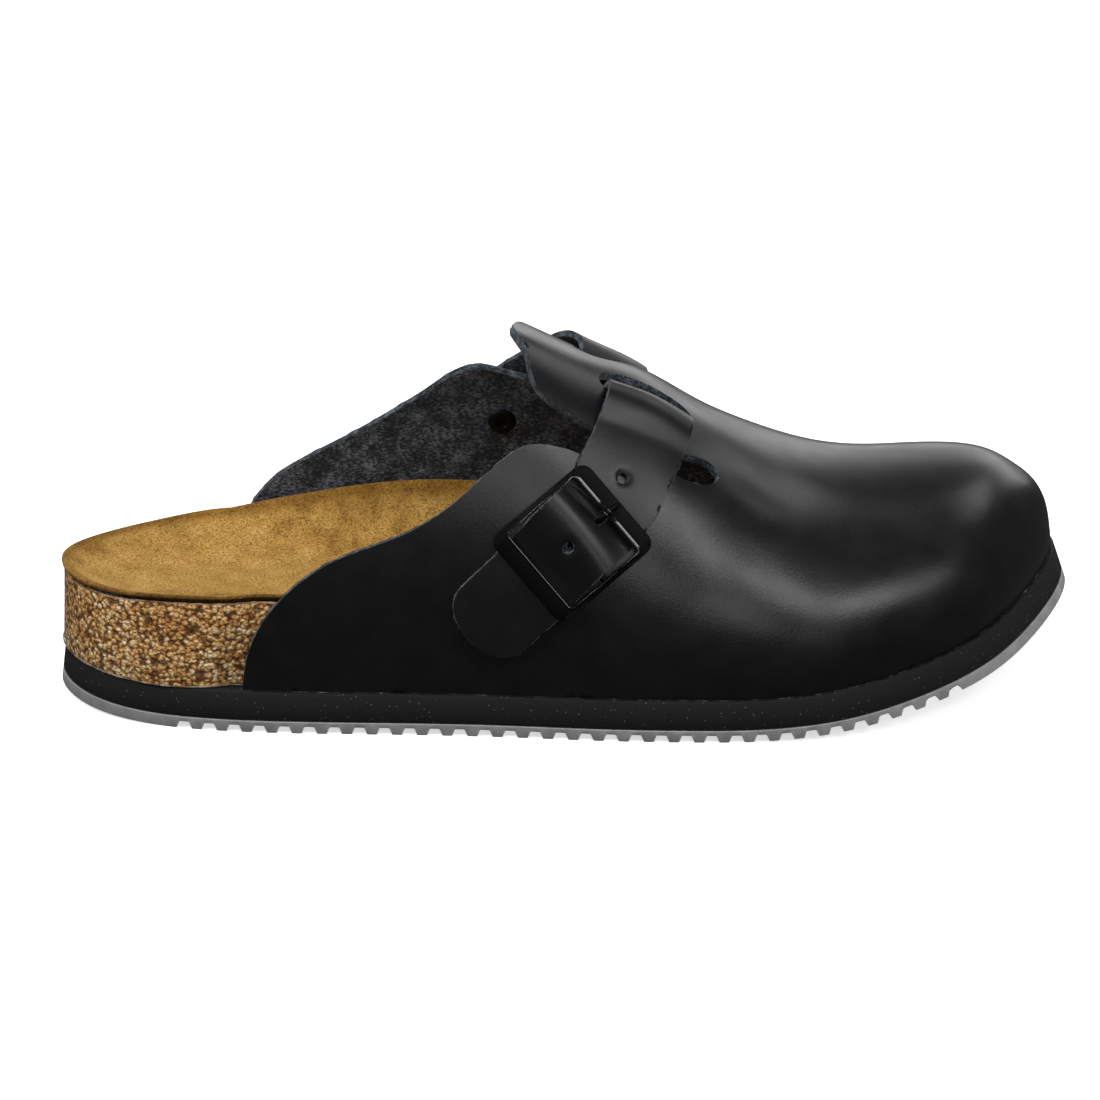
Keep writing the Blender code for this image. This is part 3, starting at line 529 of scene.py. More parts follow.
class StrapLine:
    """Middle line of the strap on the upper, with the pattern steps that are one metre along the
    strap and one metre across it."""

    def __init__(self):
        _, self.run, (self.p, self.q) = through(STRAP_PATH, 0.004)
        self.length = self.run[-1]

    def frame(self, at):
        """Pattern place, then the along and across steps in the pattern, at places on the line."""
        step = 1e-4
        p, q = self.p(at), self.q(at)
        here = upper_surface(p, q)
        ahead = upper_surface(self.p(at + step), self.q(at + step)) - here
        ahead = ahead / np.linalg.norm(ahead, axis=-1, keepdims=True)
        side = np.cross(upper_normal(p, q), ahead)
        by_p = (upper_surface(p + step, q) - upper_surface(p - step, q)) / (2 * step)
        by_q = (upper_surface(p, q + step) - upper_surface(p, q - step)) / (2 * step)
        pp = (by_p * by_p).sum(axis=-1)
        pq = (by_p * by_q).sum(axis=-1)
        qq = (by_q * by_q).sum(axis=-1)
        det = pp * qq - pq * pq
        steps = []
        for direction in (ahead, side):
            dp = (by_p * direction).sum(axis=-1)
            dq = (by_q * direction).sum(axis=-1)
            steps.append(np.stack([(qq * dp - pq * dq) / det, (pp * dq - pq * dp) / det], axis=-1))
        return np.stack([p, q], axis=-1), steps[0], steps[1]

    def place(self, at, across):
        """Pattern place of a point of the strap."""
        middle, _, side = self.frame(at)
        return middle + side * np.asarray(across)[..., None]

    def row(self, number):
        """Place along the line of a row of its table."""
        return self.run[number]


STRAP = StrapLine()


def strap_rise(at):
    """Height of the strap's middle layer over the upper's face: on it, under the tongue between the
    slits, over the medial notch, curled up past the near slit, and over the buckle's centre bar."""
    over = STRAP_GAP + STRAP_THICKNESS / 2
    under = -(UPPER_WALL + STRAP_TONGUE_GAP + STRAP_THICKNESS / 2)
    down = step_up((at - STRAP.row(FAR_SLIT_ROW)) / SLIT_PASSAGE + 0.5)
    up = step_up((at - STRAP.row(NEAR_SLIT_ROW) - STRAP_LAG) / SLIT_PASSAGE + 0.5)
    from_crest = at - STRAP.row(BUCKLE_ROW) + STRAP_CREST_PLACE
    reach = BUCKLE_LENGTH / 2 - BUCKLE_END_BAR + np.where(from_crest < 0, -1, 1) * STRAP_CREST_PLACE
    bump = np.cos(np.clip(from_crest / reach, -1, 1) * math.pi / 2)**2
    from_bridge = (at - (STRAP.row(NOTCH_ROW) + STRAP.row(NOTCH_ROW + 1)) / 2) / STRAP_BRIDGE_REACH
    bridge = np.cos(np.clip(from_bridge, -1, 1) * math.pi / 2)**2
    from_curl = (at - STRAP.row(NEAR_SLIT_ROW) - STRAP_CURL_PLACE) / STRAP_CURL_REACH
    curl = np.cos(np.clip(from_curl, -1, 1) * math.pi / 2)**2
    level = over + (under - over) * (down - up)
    return level + STRAP_CREST * bump + STRAP_BRIDGE * bridge + STRAP_CURL * curl


def strap_hole_places():
    """Holes along the strap's line: one for the prong, one a pitch before it and one after,
    measured on the strap itself, which is longer than its line where it climbs."""
    at = np.linspace(0, STRAP.length, 2000)
    own = np.concatenate([[0], np.cumsum(np.hypot(np.diff(at), np.diff(strap_rise(at))))])
    prong = STRAP.row(BUCKLE_ROW) - PRONG_HOLE_PLACE
    here = np.interp(prong, at, own)
    before, after = (np.interp(here + way * STRAP_HOLE_PITCH, own, at) for way in (-1, 1))
    return before, prong, after


def slit_loop(row, count):
    """A slit across the strap's line, rounder than a slot and blunter than a lens."""
    angle = np.arange(count) * 2 * math.pi / count
    c, s = np.cos(angle), np.sin(angle)
    across = np.sign(c) * np.abs(c)**SLIT_END_POWER * SLIT_LENGTH / 2
    along = np.sign(s) * np.abs(s)**SLIT_SIDE_POWER * SLIT_OPENING / 2
    return STRAP.place(STRAP.row(row) + along, across)


def circle(diameter, count):
    """Circle in plane measure."""
    angle = np.arange(count) * 2 * math.pi / count
    return np.stack([np.cos(angle), np.sin(angle)], axis=1) * diameter / 2


def spaced_loop(loop, place, spacing):
    """A closed pattern loop sampled again at even steps of the surface that place() gives."""
    closed = np.concatenate([loop, loop[:1]])
    run = np.concatenate([[0], np.cumsum(np.linalg.norm(np.diff(place(closed), axis=0), axis=1))])
    count = max(12, int(round(run[-1] / spacing)))
    at = np.arange(count) / count * run[-1]
    return np.stack([np.interp(at, run, closed[:, i]) for i in (0, 1)], axis=1)


def inside(points, loops):
    """Which plane points lie inside the loops, by counting the edges to their right."""
    crossings = np.zeros(len(points), int)
    for loop in loops:
        x0, y0 = loop.T
        x1, y1 = np.roll(loop, -1, axis=0).T
        for i in range(len(loop)):
            spans = (y0[i] > points[:, 1]) != (y1[i] > points[:, 1])
            slant = (x1[i] - x0[i]) / (y1[i] - y0[i] if y1[i] != y0[i] else 1)
            crossings += spans & (points[:, 0] < x0[i] + slant * (points[:, 1] - y0[i]))
    return crossings % 2 == 1


def nearest_gap(points, edge):
    """Distance of each point from a closed line through the edge points, by its nearest spans."""
    gap = np.full(len(points), np.inf)
    batch = 4000
    for start in range(0, len(points), batch):
        part = points[start:start + batch]
        near = ((part[:, None] - edge[None])**2).sum(axis=2).argmin(axis=1)
        for way in (-1, 1):
            a = edge[near]
            b = edge[(near + way) % len(edge)]
            along = b - a
            square = np.maximum((along * along).sum(axis=1), 1e-18)
            share = ((part - a) * along).sum(axis=1) / square
            foot = a + along * np.clip(share, 0, 1)[:, None]
            away = np.linalg.norm(part - foot, axis=1)
            gap[start:start + batch] = np.minimum(gap[start:start + batch], away)
    return gap


def cut_flat(loops, filling, clear):
    """Triangles that fill plane loops. Filling points nearer to an edge than the clearance are
    left out. Gives the faces over the loops' points and then the kept filling's, and which are
    kept."""
    keep = inside(filling, loops)
    for loop in loops:
        keep[keep] = nearest_gap(filling[keep], loop) > clear
    points = np.concatenate([*loops, filling[keep]])
    edges = []
    start = 0
    for loop in loops:
        count = len(loop)
        edges += [(start + i, start + (i + 1) % count) for i in range(count)]
        start += count
    corners = [Vector(point) for point in points.tolist()]
    _, _, faces, origin, *_ = delaunay_2d_cdt(corners, edges, [], 0, 1e-9)
    origin = np.array([own[0] if own else -1 for own in origin])
    faces = origin[np.array([face for face in faces if len(face) == 3])]
    faces = faces[(faces >= 0).all(axis=1)]
    return faces[inside(points[faces].mean(axis=1), loops)], keep


def new_piece(name, points, faces, materials, slots=None, sharp=40, values=None):
    """Object from points and faces. Slots give each face its material, and values are named floats
    of the points that a material reads."""
    mesh = bpy.data.meshes.new(name)
    mesh.from_pydata(np.asarray(points).tolist(), [], faces)
    mesh.shade_smooth()
    mesh.set_sharp_from_angle(angle=math.radians(sharp))
    for material in materials:
        mesh.materials.append(material)
    if slots is not None:
        mesh.polygons.foreach_set("material_index", np.asarray(slots, np.int32))
    for key, value in (values or {}).items():
        layer = mesh.attributes.new(key, "FLOAT", "POINT")
        layer.data.foreach_set("value", np.asarray(value, np.float32))
    mesh.validate()
    thing = bpy.data.objects.new(name, mesh)
    bpy.context.scene.collection.objects.link(thing)
    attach(thing, "root")
    return thing


def ordered(points, faces):
    """The faces, turned round together if they enclose less than nothing: the sum over their
    triangles of the signed volume to the origin."""
    volume = 0.0
    for size in (3, 4):
        part = np.array([face for face in faces if len(face) == size], int).reshape(-1, size)
        for i in range(1, size - 1):
            a, b, c = points[part[:, 0]], points[part[:, i]], points[part[:, i + 1]]
            volume += (a * np.cross(b, c)).sum()
    return faces if volume > 0 else [face[::-1] for face in faces]


def between(first, second):
    """Quads between two closed loops of as many points, all given by number."""
    return np.stack([first, np.roll(first, -1), np.roll(second, -1), second], axis=1).tolist()


def fan(starts, ends, pole):
    """Triangles between the spans of a loop and one pole, all given by number."""
    return np.stack([starts, ends, np.full(len(starts), pole)], axis=1).tolist()


def leather_sheet(name, sizes, outer, normals, faces, wall, materials, fuzz):
    """Cut leather: an outer and an inner face a wall apart, and a cut edge that rounds out between
    them by a sine arc and is rough by the fuzz. The loops are runs of the first points, and the
    materials are those of the grain side, the cut edge and the flesh side."""
    inner = outer - normals * wall
    count = len(outer)
    centre = np.zeros_like(outer)
    share = np.zeros(count)
    middle = outer[faces].mean(axis=1)
    for i in range(3):
        np.add.at(centre, faces[:, i], middle)
        np.add.at(share, faces[:, i], 1)
    centre /= np.maximum(share, 1)[:, None]
    rng = np.random.default_rng(FUZZ_SEED)
    points = [outer, inner]
    body = [tuple(face) for face in faces.tolist()]
    slots = [0] * len(body)
    body += [(c + count, b + count, a + count) for a, b, c in faces.tolist()]
    slots += [2] * len(faces)
    total = 2 * count
    start = 0
    rows_made = []
    for size in sizes:
        loop = np.arange(start, start + size)
        start += size
        ahead = outer[np.roll(loop, -1)] - outer[np.roll(loop, 1)]
        side = np.cross(ahead, normals[loop])
        side /= np.maximum(np.linalg.norm(side, axis=1, keepdims=True), 1e-12)
        if ((centre[loop] - outer[loop]) * side).sum() > 0:
            side = -side
        rows = [loop]
        for depth in CUT_DEPTHS:
            bulge = CUT_BULGE + CUT_BULGE_MIDDLE * math.sin(math.pi * depth)
            rough = rng.normal(0, fuzz, size)
            rough = (rough + np.roll(rough, 1)) / 1.4
            points.append(outer[loop] + (inner[loop] - outer[loop]) * depth
                          + side * (bulge + rough)[:, None])
            rows.append(total + np.arange(size))
            total += size
        rows.append(loop + count)
        rows_made.append(rows)
    used = {}
    for a, b, c in faces.tolist():
        used[(a, b)] = used[(b, c)] = used[(c, a)] = True
    for rows in rows_made:
        first = rows[0]
        flip = (int(first[0]), int(first[1])) in used
        for upper, lower in zip(rows, rows[1:]):
            a, b = upper, np.roll(upper, -1)
            c, d = np.roll(lower, -1), lower
            quads = np.stack([b, a, d, c] if flip else [a, b, c, d], axis=1)
            body += [tuple(quad) for quad in quads.tolist()]
            slots += [1] * len(quads)
    points = np.concatenate(points)
    return new_piece(name, points, ordered(points, body), materials, slots)


def edge_angles(steps, extra=()):
    """Angles from the heel back to the toe tip for a sole's rows, with extra ones where asked."""
    return np.unique(np.round(np.concatenate([np.linspace(0, math.pi, steps), extra]), 7))


def level(height):
    """The same height all over a plan."""
    return lambda plan: height + 0 * plan[:, 0]


def sole_solid(name, angles, rings, top, bottom, place, materials, columns, bands=(), values=None):
    """Closed slab over the sole's outline: rings of (inset, height) go round its edge from the top
    to the bottom, and straight rows across close both faces at the heights of top() and bottom().
    Bands give the material slot of the wall under each ring."""
    rows = len(angles)
    loop = np.concatenate([angles, 2 * math.pi - angles[1:-1][::-1]])
    size = len(loop)
    plans, heights = [], []
    for inset, height in rings:
        plan = np.stack(sole_edge(loop, inset(loop) if callable(inset) else inset), axis=1)
        plans.append(plan)
        heights.append(height(plan))
    faces, slots = [], []
    for k in range(len(rings) - 1):
        ring = k * size + np.arange(size)
        faces += between(ring, ring + size)
        slots += [bands[k] if bands else 0] * size
    total = size * len(rings)
    share = (1 - np.cos(math.pi * np.arange(1, columns) / columns)) / 2
    for ring, height, turned in ((0, top, False), (len(rings) - 1, bottom, True)):
        base = plans[ring]
        medial = base[1:rows - 1]
        lateral = base[size - 1:rows - 1:-1]
        inner = medial[:, None] + share[None, :, None] * (lateral - medial)[:, None]
        inner = inner.reshape(-1, 2)
        plans.append(inner)
        heights.append(height(inner))
        grid = np.empty((rows - 2, columns + 1), int)
        grid[:, 0] = ring * size + np.arange(1, rows - 1)
        grid[:, -1] = ring * size + np.arange(size - 1, rows - 1, -1)
        grid[:, 1:-1] = total + np.arange(len(inner)).reshape(rows - 2, columns - 1)
        total += len(inner)
        quads = np.stack([grid[:-1, :-1], grid[:-1, 1:], grid[1:, 1:], grid[1:, :-1]], axis=-1)
        tip = np.full(columns, ring * size)
        heel = np.stack([tip, grid[0, 1:], grid[0, :-1]], axis=-1)
        toe = np.stack([grid[-1, :-1], grid[-1, 1:], tip + rows - 1], axis=-1)
        found = quads.reshape(-1, 4).tolist() + heel.tolist() + toe.tolist()
        faces += [face if turned else face[::-1] for face in found]
        slots += [0] * len(found)
    plan = np.concatenate(plans)
    points = place(plan[:, 0], plan[:, 1], np.concatenate(heights))
    faces = ordered(points, faces)
    more = {key: rule(plan) for key, rule in (values or {}).items()}
    return new_piece(name, points, faces, materials, slots, values=more)


def tube(name, path, radius, materials, sides, closed=False, across=(0, 0, 1.0)):
    """Round bar along a path: circles square to it, of the radius at each point, with fans over
    its ends."""
    path = np.asarray(path, float)
    if closed:
        tangent = np.roll(path, -1, axis=0) - np.roll(path, 1, axis=0)
    else:
        tangent = np.gradient(path, axis=0)
    tangent /= np.linalg.norm(tangent, axis=1, keepdims=True)
    side = np.cross(tangent, across)
    side /= np.linalg.norm(side, axis=1, keepdims=True)
    up = np.cross(side, tangent)
    angle = np.arange(sides) * 2 * math.pi / sides
    radius = np.broadcast_to(radius, len(path))
    turned = (np.cos(angle)[None, :, None] * side[:, None]
              + np.sin(angle)[None, :, None] * up[:, None])
    points = (path[:, None] + radius[:, None, None] * turned).reshape(-1, 3)
    count = len(path)
    faces = []
    for i in range(count if closed else count - 1):
        faces += between(i * sides + np.arange(sides), (i + 1) % count * sides + np.arange(sides))
    if not closed:
        points = np.concatenate([points, path[:1], path[-1:]])
        first = np.arange(sides)
        last = (count - 1) * sides + first
        faces += fan(np.roll(first, -1), first, count * sides)
        faces += fan(last, np.roll(last, -1), count * sides + 1)
    return new_piece(name, points, ordered(points, faces), materials)


def cement_line(name, angle, path, sizes, cement):
    """Squeezed-out cement: a bar along the path, its thickness uneven by a product of two sines of
    the angle round the sole."""
    thick, uneven, first, second, lag = sizes
    swell = thick + uneven * np.sin(angle * first) * np.sin(angle * second + lag)
    return tube(name, path, swell, [cement], 8)


def linear(hex_colour):
    """Linear colour with alpha 1 of an sRGB hex value."""
    value = np.array([int(hex_colour[i:i + 2], 16) for i in (1, 3, 5)]) / 255
    value = np.where(value <= 0.04045, value / 12.92, ((value + 0.055) / 1.055)**2.4)
    return (*value.tolist(), 1.0)


def per_metre(size_mm):
    """Texture scale on Object coordinates for a detail of that size."""
    return 1000 / size_mm


def add_node(tree, kind, settings=None, sockets=None, stops=()):
    """A node with its settings, its sockets set to values or linked from (node, output), and its
    colour ramp's stops of (position, hex colour)."""
    node = tree.nodes.new(kind)
    for key, value in (settings or {}).items():
        setattr(node, key, value)
    for key, value in (sockets or {}).items():
        if isinstance(value, tuple) and isinstance(value[0], bpy.types.Node):
            tree.links.new(value[0].outputs[value[1]], node.inputs[key])
        else:
            node.inputs[key].default_value = value
    for i, (position, colour) in enumerate(stops):
        if i < 2:
            node.color_ramp.elements[i].position = position
        else:
            node.color_ramp.elements.new(position)
        node.color_ramp.elements[i].color = linear(colour)
    return node


def new_material(name, sockets):
    """Material with only its Principled shader set, its tree, and Object coordinates."""
    material = bpy.data.materials.new(name)
    material.use_nodes = True
    tree = material.node_tree
    for key, value in sockets.items():
        tree.nodes["Principled BSDF"].inputs[key].default_value = value
    return material, tree, (add_node(tree, "ShaderNodeTexCoord"), "Object")


def dress(tree, **sources):
    """Links sources of (node, output) to the Principled shader: base, rough, normal."""
    names = {"base": "Base Color", "rough": "Roughness", "normal": "Normal"}
    for key, (node, output) in sources.items():
        tree.links.new(node.outputs[output], tree.nodes["Principled BSDF"].inputs[names[key]])


MULTIPLY_COLOURS = {"data_type": "RGBA", "blend_type": "MULTIPLY"}
MULTIPLY_ADD = {"operation": "MULTIPLY_ADD"}


def smooth_leather(name, colour, grain_mm, rough):
    """Full-grain cattle hide, corrected, pigmented black and lightly waxed: a soft grey sheen, a
    fine pebble grain, and faint broad waves where the hide was drawn over the last."""
    material, tree, here = new_material(name, {"IOR": 1.5, "Specular IOR Level": 0.5})
    cells = add_node(tree, "ShaderNodeTexVoronoi", {"feature": "SMOOTH_F1"}, {
        "Vector": here, "Scale": per_metre(grain_mm), "Smoothness": 0.6})
    pores = add_node(tree, "ShaderNodeTexNoise", sockets={
        "Vector": here, "Scale": per_metre(grain_mm * 0.6), "Detail": 3.0})
    waves = add_node(tree, "ShaderNodeTexNoise", sockets={
        "Vector": here, "Scale": per_metre(19.0), "Detail": 1.0})
    tone = add_node(tree, "ShaderNodeTexNoise", sockets={
        "Vector": here, "Scale": per_metre(9.0), "Detail": 4.0})
    low = add_node(tree, "ShaderNodeBump", sockets={
        "Height": (waves, "Fac"), "Distance": 0.30 * MM, "Strength": 0.4})
    mid = add_node(tree, "ShaderNodeBump", sockets={
        "Height": (cells, "Distance"), "Distance": 0.030 * MM, "Strength": 0.5,
        "Normal": (low, "Normal")})
    fine = add_node(tree, "ShaderNodeBump", sockets={
        "Height": (pores, "Fac"), "Distance": 0.020 * MM, "Strength": 0.6,
        "Normal": (mid, "Normal")})
    base = add_node(tree, "ShaderNodeValToRGB", sockets={0: (tone, "Fac")},
                    stops=((0.3, colour), (0.75, "#131315")))
    gloss = add_node(tree, "ShaderNodeMapRange", sockets={
        "Value": (tone, "Fac"), "From Min": 0.3, "From Max": 0.7, "To Min": rough - 0.03,
        "To Max": rough + 0.03})
    dress(tree, base=(base, "Color"), rough=(gloss, "Result"), normal=(fine, "Normal"))
    return material


def raw_cut_edge(name):
    """Cut edge of drum-dyed hide, unpainted: blue-grey fibre with a fuzzy, lighter nap."""
    material, tree, here = new_material(name, {
        "Roughness": 1.0, "Specular IOR Level": 0.15, "Sheen Weight": 0.15, "Sheen Roughness": 0.5})
    fibre = add_node(tree, "ShaderNodeTexNoise", sockets={
        "Vector": here, "Scale": per_metre(0.55), "Detail": 4.0, "Roughness": 0.7})
    clump = add_node(tree, "ShaderNodeTexNoise", sockets={
        "Vector": here, "Scale": per_metre(2.4), "Detail": 2.0})
    both = add_node(tree, "ShaderNodeMath", MULTIPLY_ADD, {
        0: (clump, "Fac"), 1: 0.6, 2: (fibre, "Fac")})
    base = add_node(tree, "ShaderNodeValToRGB", sockets={0: (both, "Value")},
                    stops=((0.58, "#0d0f11"), (0.78, "#23292d"), (0.94, "#59636a")))
    relief = add_node(tree, "ShaderNodeBump", sockets={
        "Height": (fibre, "Fac"), "Distance": 0.35 * MM})
    dress(tree, base=(base, "Color"), normal=(relief, "Normal"))
    return material


def flesh_side(name, colour):
    """Flesh side of the hide, unlined: charcoal suede with short fibres that lie along the shoe."""
    material, tree, here = new_material(name, {
        "Roughness": 1.0, "Specular IOR Level": 0.15, "Sheen Weight": 0.12, "Sheen Roughness": 0.5})
    drawn = add_node(tree, "ShaderNodeMapping", sockets={"Vector": here, "Scale": (0.55, 1.0, 1.0)})
    fibre = add_node(tree, "ShaderNodeTexNoise", sockets={
        "Vector": (drawn, "Vector"), "Scale": per_metre(0.6), "Detail": 5.0, "Roughness": 0.7})
    cloud = add_node(tree, "ShaderNodeTexNoise", sockets={
        "Vector": here, "Scale": per_metre(6.0), "Detail": 2.0})
    both = add_node(tree, "ShaderNodeMath", MULTIPLY_ADD, {
        0: (cloud, "Fac"), 1: 0.4, 2: (fibre, "Fac")})
    base = add_node(tree, "ShaderNodeValToRGB", sockets={0: (both, "Value")},
                    stops=((0.52, "#0f1013"), (0.68, colour), (0.86, "#6a6e76")))
    relief = add_node(tree, "ShaderNodeBump", sockets={
        "Height": (fibre, "Fac"), "Distance": 0.5 * MM})
    dress(tree, base=(base, "Color"), normal=(relief, "Normal"))
    return material


def insole_suede(name, colour):
    """Tan split leather, nap up: short fibres, a few brown spots, and darker in a ragged band along
    the rim."""
    material, tree, here = new_material(name, {
        "Roughness": 1.0, "Specular IOR Level": 0.1, "Sheen Weight": 0.12, "Sheen Roughness": 0.5,
        "Sheen Tint": linear("#dcc08a")})
    nap = add_node(tree, "ShaderNodeTexNoise", sockets={
        "Vector": here, "Scale": per_metre(0.62), "Detail": 5.0, "Roughness": 0.75})
    blotch = add_node(tree, "ShaderNodeTexNoise", sockets={
        "Vector": here, "Scale": per_metre(9.0), "Detail": 6.0, "Roughness": 0.66})
    broad = add_node(tree, "ShaderNodeTexNoise", sockets={
        "Vector": here, "Scale": per_metre(38.0), "Detail": 1.0})
    both = add_node(tree, "ShaderNodeMath", MULTIPLY_ADD, {
        0: (broad, "Fac"), 1: 0.5, 2: (blotch, "Fac")})
    base = add_node(tree, "ShaderNodeValToRGB", sockets={0: (both, "Value")},
                    stops=((0.52, "#936f35"), (0.66, "#b08b4c"), (0.80, colour), (1.0, "#cfac6a")))
    speck = add_node(tree, "ShaderNodeValToRGB", sockets={0: (nap, "Fac")},
                     stops=((0.38, "#4d3c22"), (0.48, "#cfc2a6"), (0.60, "#ffffff")))
    darkened = add_node(tree, "ShaderNodeMix", MULTIPLY_COLOURS, {
        0: 0.78, 6: (base, "Color"), 7: (speck, "Color")})
    # Darker in a ragged band along the rim, by the rim attribute roughened by the nap
    rim = add_node(tree, "ShaderNodeAttribute", {"attribute_name": "rim"})
    ragged = add_node(tree, "ShaderNodeMath", {"operation": "MULTIPLY_ADD", "use_clamp": True}, {
        0: (nap, "Fac"), 1: 0.30, 2: (rim, "Fac")})
    dark = add_node(tree, "ShaderNodeValToRGB", sockets={0: (ragged, "Value")},
                    stops=((0.80, "#ffffff"), (1.0, "#a99563")))
    done = add_node(tree, "ShaderNodeMix", MULTIPLY_COLOURS, {
        0: 0.7, 6: (darkened, 2), 7: (dark, "Color")})
    soft = add_node(tree, "ShaderNodeBump", sockets={
        "Height": (blotch, "Fac"), "Distance": 0.4 * MM, "Strength": 0.3})
    relief = add_node(tree, "ShaderNodeBump", sockets={
        "Height": (nap, "Fac"), "Distance": 0.35 * MM, "Strength": 0.8, "Normal": (soft, "Normal")})
    dress(tree, base=(done, 2), normal=(relief, "Normal"))
    return material


def dark_cut_edge(name):
    """Cut edge of the split, burnished dark with hot wax and smeared with glue: uneven brown."""
    material, tree, here = new_material(name, {"Roughness": 0.75})
    nap = add_node(tree, "ShaderNodeTexNoise", sockets={
        "Vector": here, "Scale": per_metre(1.1), "Detail": 4.0, "Roughness": 0.7})
    base = add_node(tree, "ShaderNodeValToRGB", sockets={0: (nap, "Fac")},
                    stops=((0.40, "#1d150c"), (0.52, "#3d2d18"), (0.66, "#8a6a3a")))
    relief = add_node(tree, "ShaderNodeBump", sockets={
        "Height": (nap, "Fac"), "Distance": 0.4 * MM})
    dress(tree, base=(base, "Color"), normal=(relief, "Normal"))
    return material


def lacquered_cork(name, granule_mm):
    """Cork granules pressed with latex and lacquered at the wall: round tan and brown grains,
    darker near the rim, dark binder with painted shade at each grain's foot between them, and a wet
    shine on the grains' tops."""
    material, tree, here = new_material(name, {
        "IOR": 1.5, "Roughness": 0.38, "Coat Weight": 0.6, "Coat Roughness": 0.12})
    warp = add_node(tree, "ShaderNodeTexNoise", sockets={
        "Vector": here, "Scale": per_metre(1.6), "Detail": 3.0})
    pulled = add_node(tree, "ShaderNodeVectorMath", MULTIPLY_ADD, {
        0: (warp, "Color"), 1: (0.0018, 0.0018, 0.0018), 2: here})
    grains = add_node(tree, "ShaderNodeTexVoronoi", sockets={
        "Vector": (pulled, "Vector"), "Scale": per_metre(granule_mm), "Randomness": 1.0})
    crumbs = add_node(tree, "ShaderNodeTexVoronoi", sockets={
        "Vector": (pulled, "Vector"), "Scale": per_metre(granule_mm * 0.45), "Randomness": 1.0})
    fleck = add_node(tree, "ShaderNodeTexNoise", sockets={
        "Vector": here, "Scale": per_metre(0.5), "Detail": 3.0, "Roughness": 0.65})
    broad = add_node(tree, "ShaderNodeTexNoise", sockets={
        "Vector": here, "Scale": per_metre(14.0), "Detail": 2.0})
    shade = add_node(tree, "ShaderNodeSeparateColor", sockets={0: (grains, "Color")})
    varied = add_node(tree, "ShaderNodeMath", MULTIPLY_ADD, {
        0: (fleck, "Fac"), 1: 0.7, 2: (shade, "Red")})
    spot = add_node(tree, "ShaderNodeSeparateXYZ", sockets={0: here})
    sunk = add_node(tree, "ShaderNodeMapRange", sockets={
        "Value": (spot, "Z"), "From Min": SEAT, "From Max": HEEL_RIM_HEIGHT, "To Min": 0.10,
        "To Max": -0.22})
    lower = add_node(tree, "ShaderNodeMath", {"operation": "ADD"}, {
        0: (varied, "Value"), 1: (sunk, "Result")})
    patchy = add_node(tree, "ShaderNodeMath", MULTIPLY_ADD, {
        0: (broad, "Fac"), 1: 0.9, 2: (lower, "Value")})
    share = add_node(tree, "ShaderNodeMapRange", sockets={
        "Value": (patchy, "Value"), "From Min": 0.30, "From Max": 1.85})
    base = add_node(tree, "ShaderNodeValToRGB", sockets={0: (share, "Result")}, stops=(
        (0.06, "#80501f"), (0.24, "#b98340"), (0.46, "#d8a763"), (0.74, "#edc486"),
        (1.0, "#fbe6bd")))
    # Painted shade between the grains: a grain's top is pale and its foot darkens into the dark
    # binder, by the distance from its middle
    hollow_shade = add_node(tree, "ShaderNodeValToRGB", sockets={0: (grains, "Distance")}, stops=(
        (0.34, "#ffffff"), (0.54, "#cdb08a"), (0.70, "#5d3d1a")))
    done = add_node(tree, "ShaderNodeMix", MULTIPLY_COLOURS, {
        0: 0.92, 6: (base, "Color"), 7: (hollow_shade, "Color")})
    high = add_node(tree, "ShaderNodeBump", {"invert": True}, {
        "Height": (grains, "Distance"), "Distance": 0.75 * MM})
    small = add_node(tree, "ShaderNodeBump", {"invert": True}, {
        "Height": (crumbs, "Distance"), "Distance": 0.22 * MM, "Strength": 0.7,
        "Normal": (high, "Normal")})
    uneven = add_node(tree, "ShaderNodeBump", sockets={
        "Height": (warp, "Fac"), "Distance": 0.8 * MM, "Strength": 0.7,
        "Normal": (small, "Normal")})
    dress(tree, base=(done, 2), normal=(uneven, "Normal"))
    return material


def dried_latex(name):
    """Latex squeezed out under the insole's edge: a thin pale skin, browned where it is thin."""
    material, tree, here = new_material(name, {"Roughness": 0.4, "Coat Weight": 0.3})
    runs = add_node(tree, "ShaderNodeTexNoise", sockets={
        "Vector": here, "Scale": per_metre(5.0), "Detail": 5.0, "Roughness": 0.7})
    base = add_node(tree, "ShaderNodeValToRGB", sockets={0: (runs, "Fac")},
                    stops=((0.42, "#5d3f20"), (0.52, "#9c7c58"), (0.66, "#c9b8a4")))
    dress(tree, base=(base, "Color"))
    return material


def foam_rubber(name, colour):
    """Closed-cell EVA, moulded and skived at the wall: matt black, with tiny pale dust specks."""
    material, tree, here = new_material(name, {
        "Roughness": 0.60, "IOR": 1.48, "Specular IOR Level": 0.3})
    cells = add_node(tree, "ShaderNodeTexNoise", sockets={
        "Vector": here, "Scale": per_metre(0.5), "Detail": 2.0})
    dust = add_node(tree, "ShaderNodeTexVoronoi", sockets={"Vector": here, "Scale": per_metre(1.7)})
    speck = add_node(tree, "ShaderNodeValToRGB", sockets={0: (dust, "Distance")},
                     stops=((0.0, "#9a9a94"), (0.10, "#3a3a39"), (0.16, colour)))
    relief = add_node(tree, "ShaderNodeBump", sockets={
        "Height": (cells, "Fac"), "Distance": 0.06 * MM})
    dress(tree, base=(speck, "Color"), normal=(relief, "Normal"))
    return material


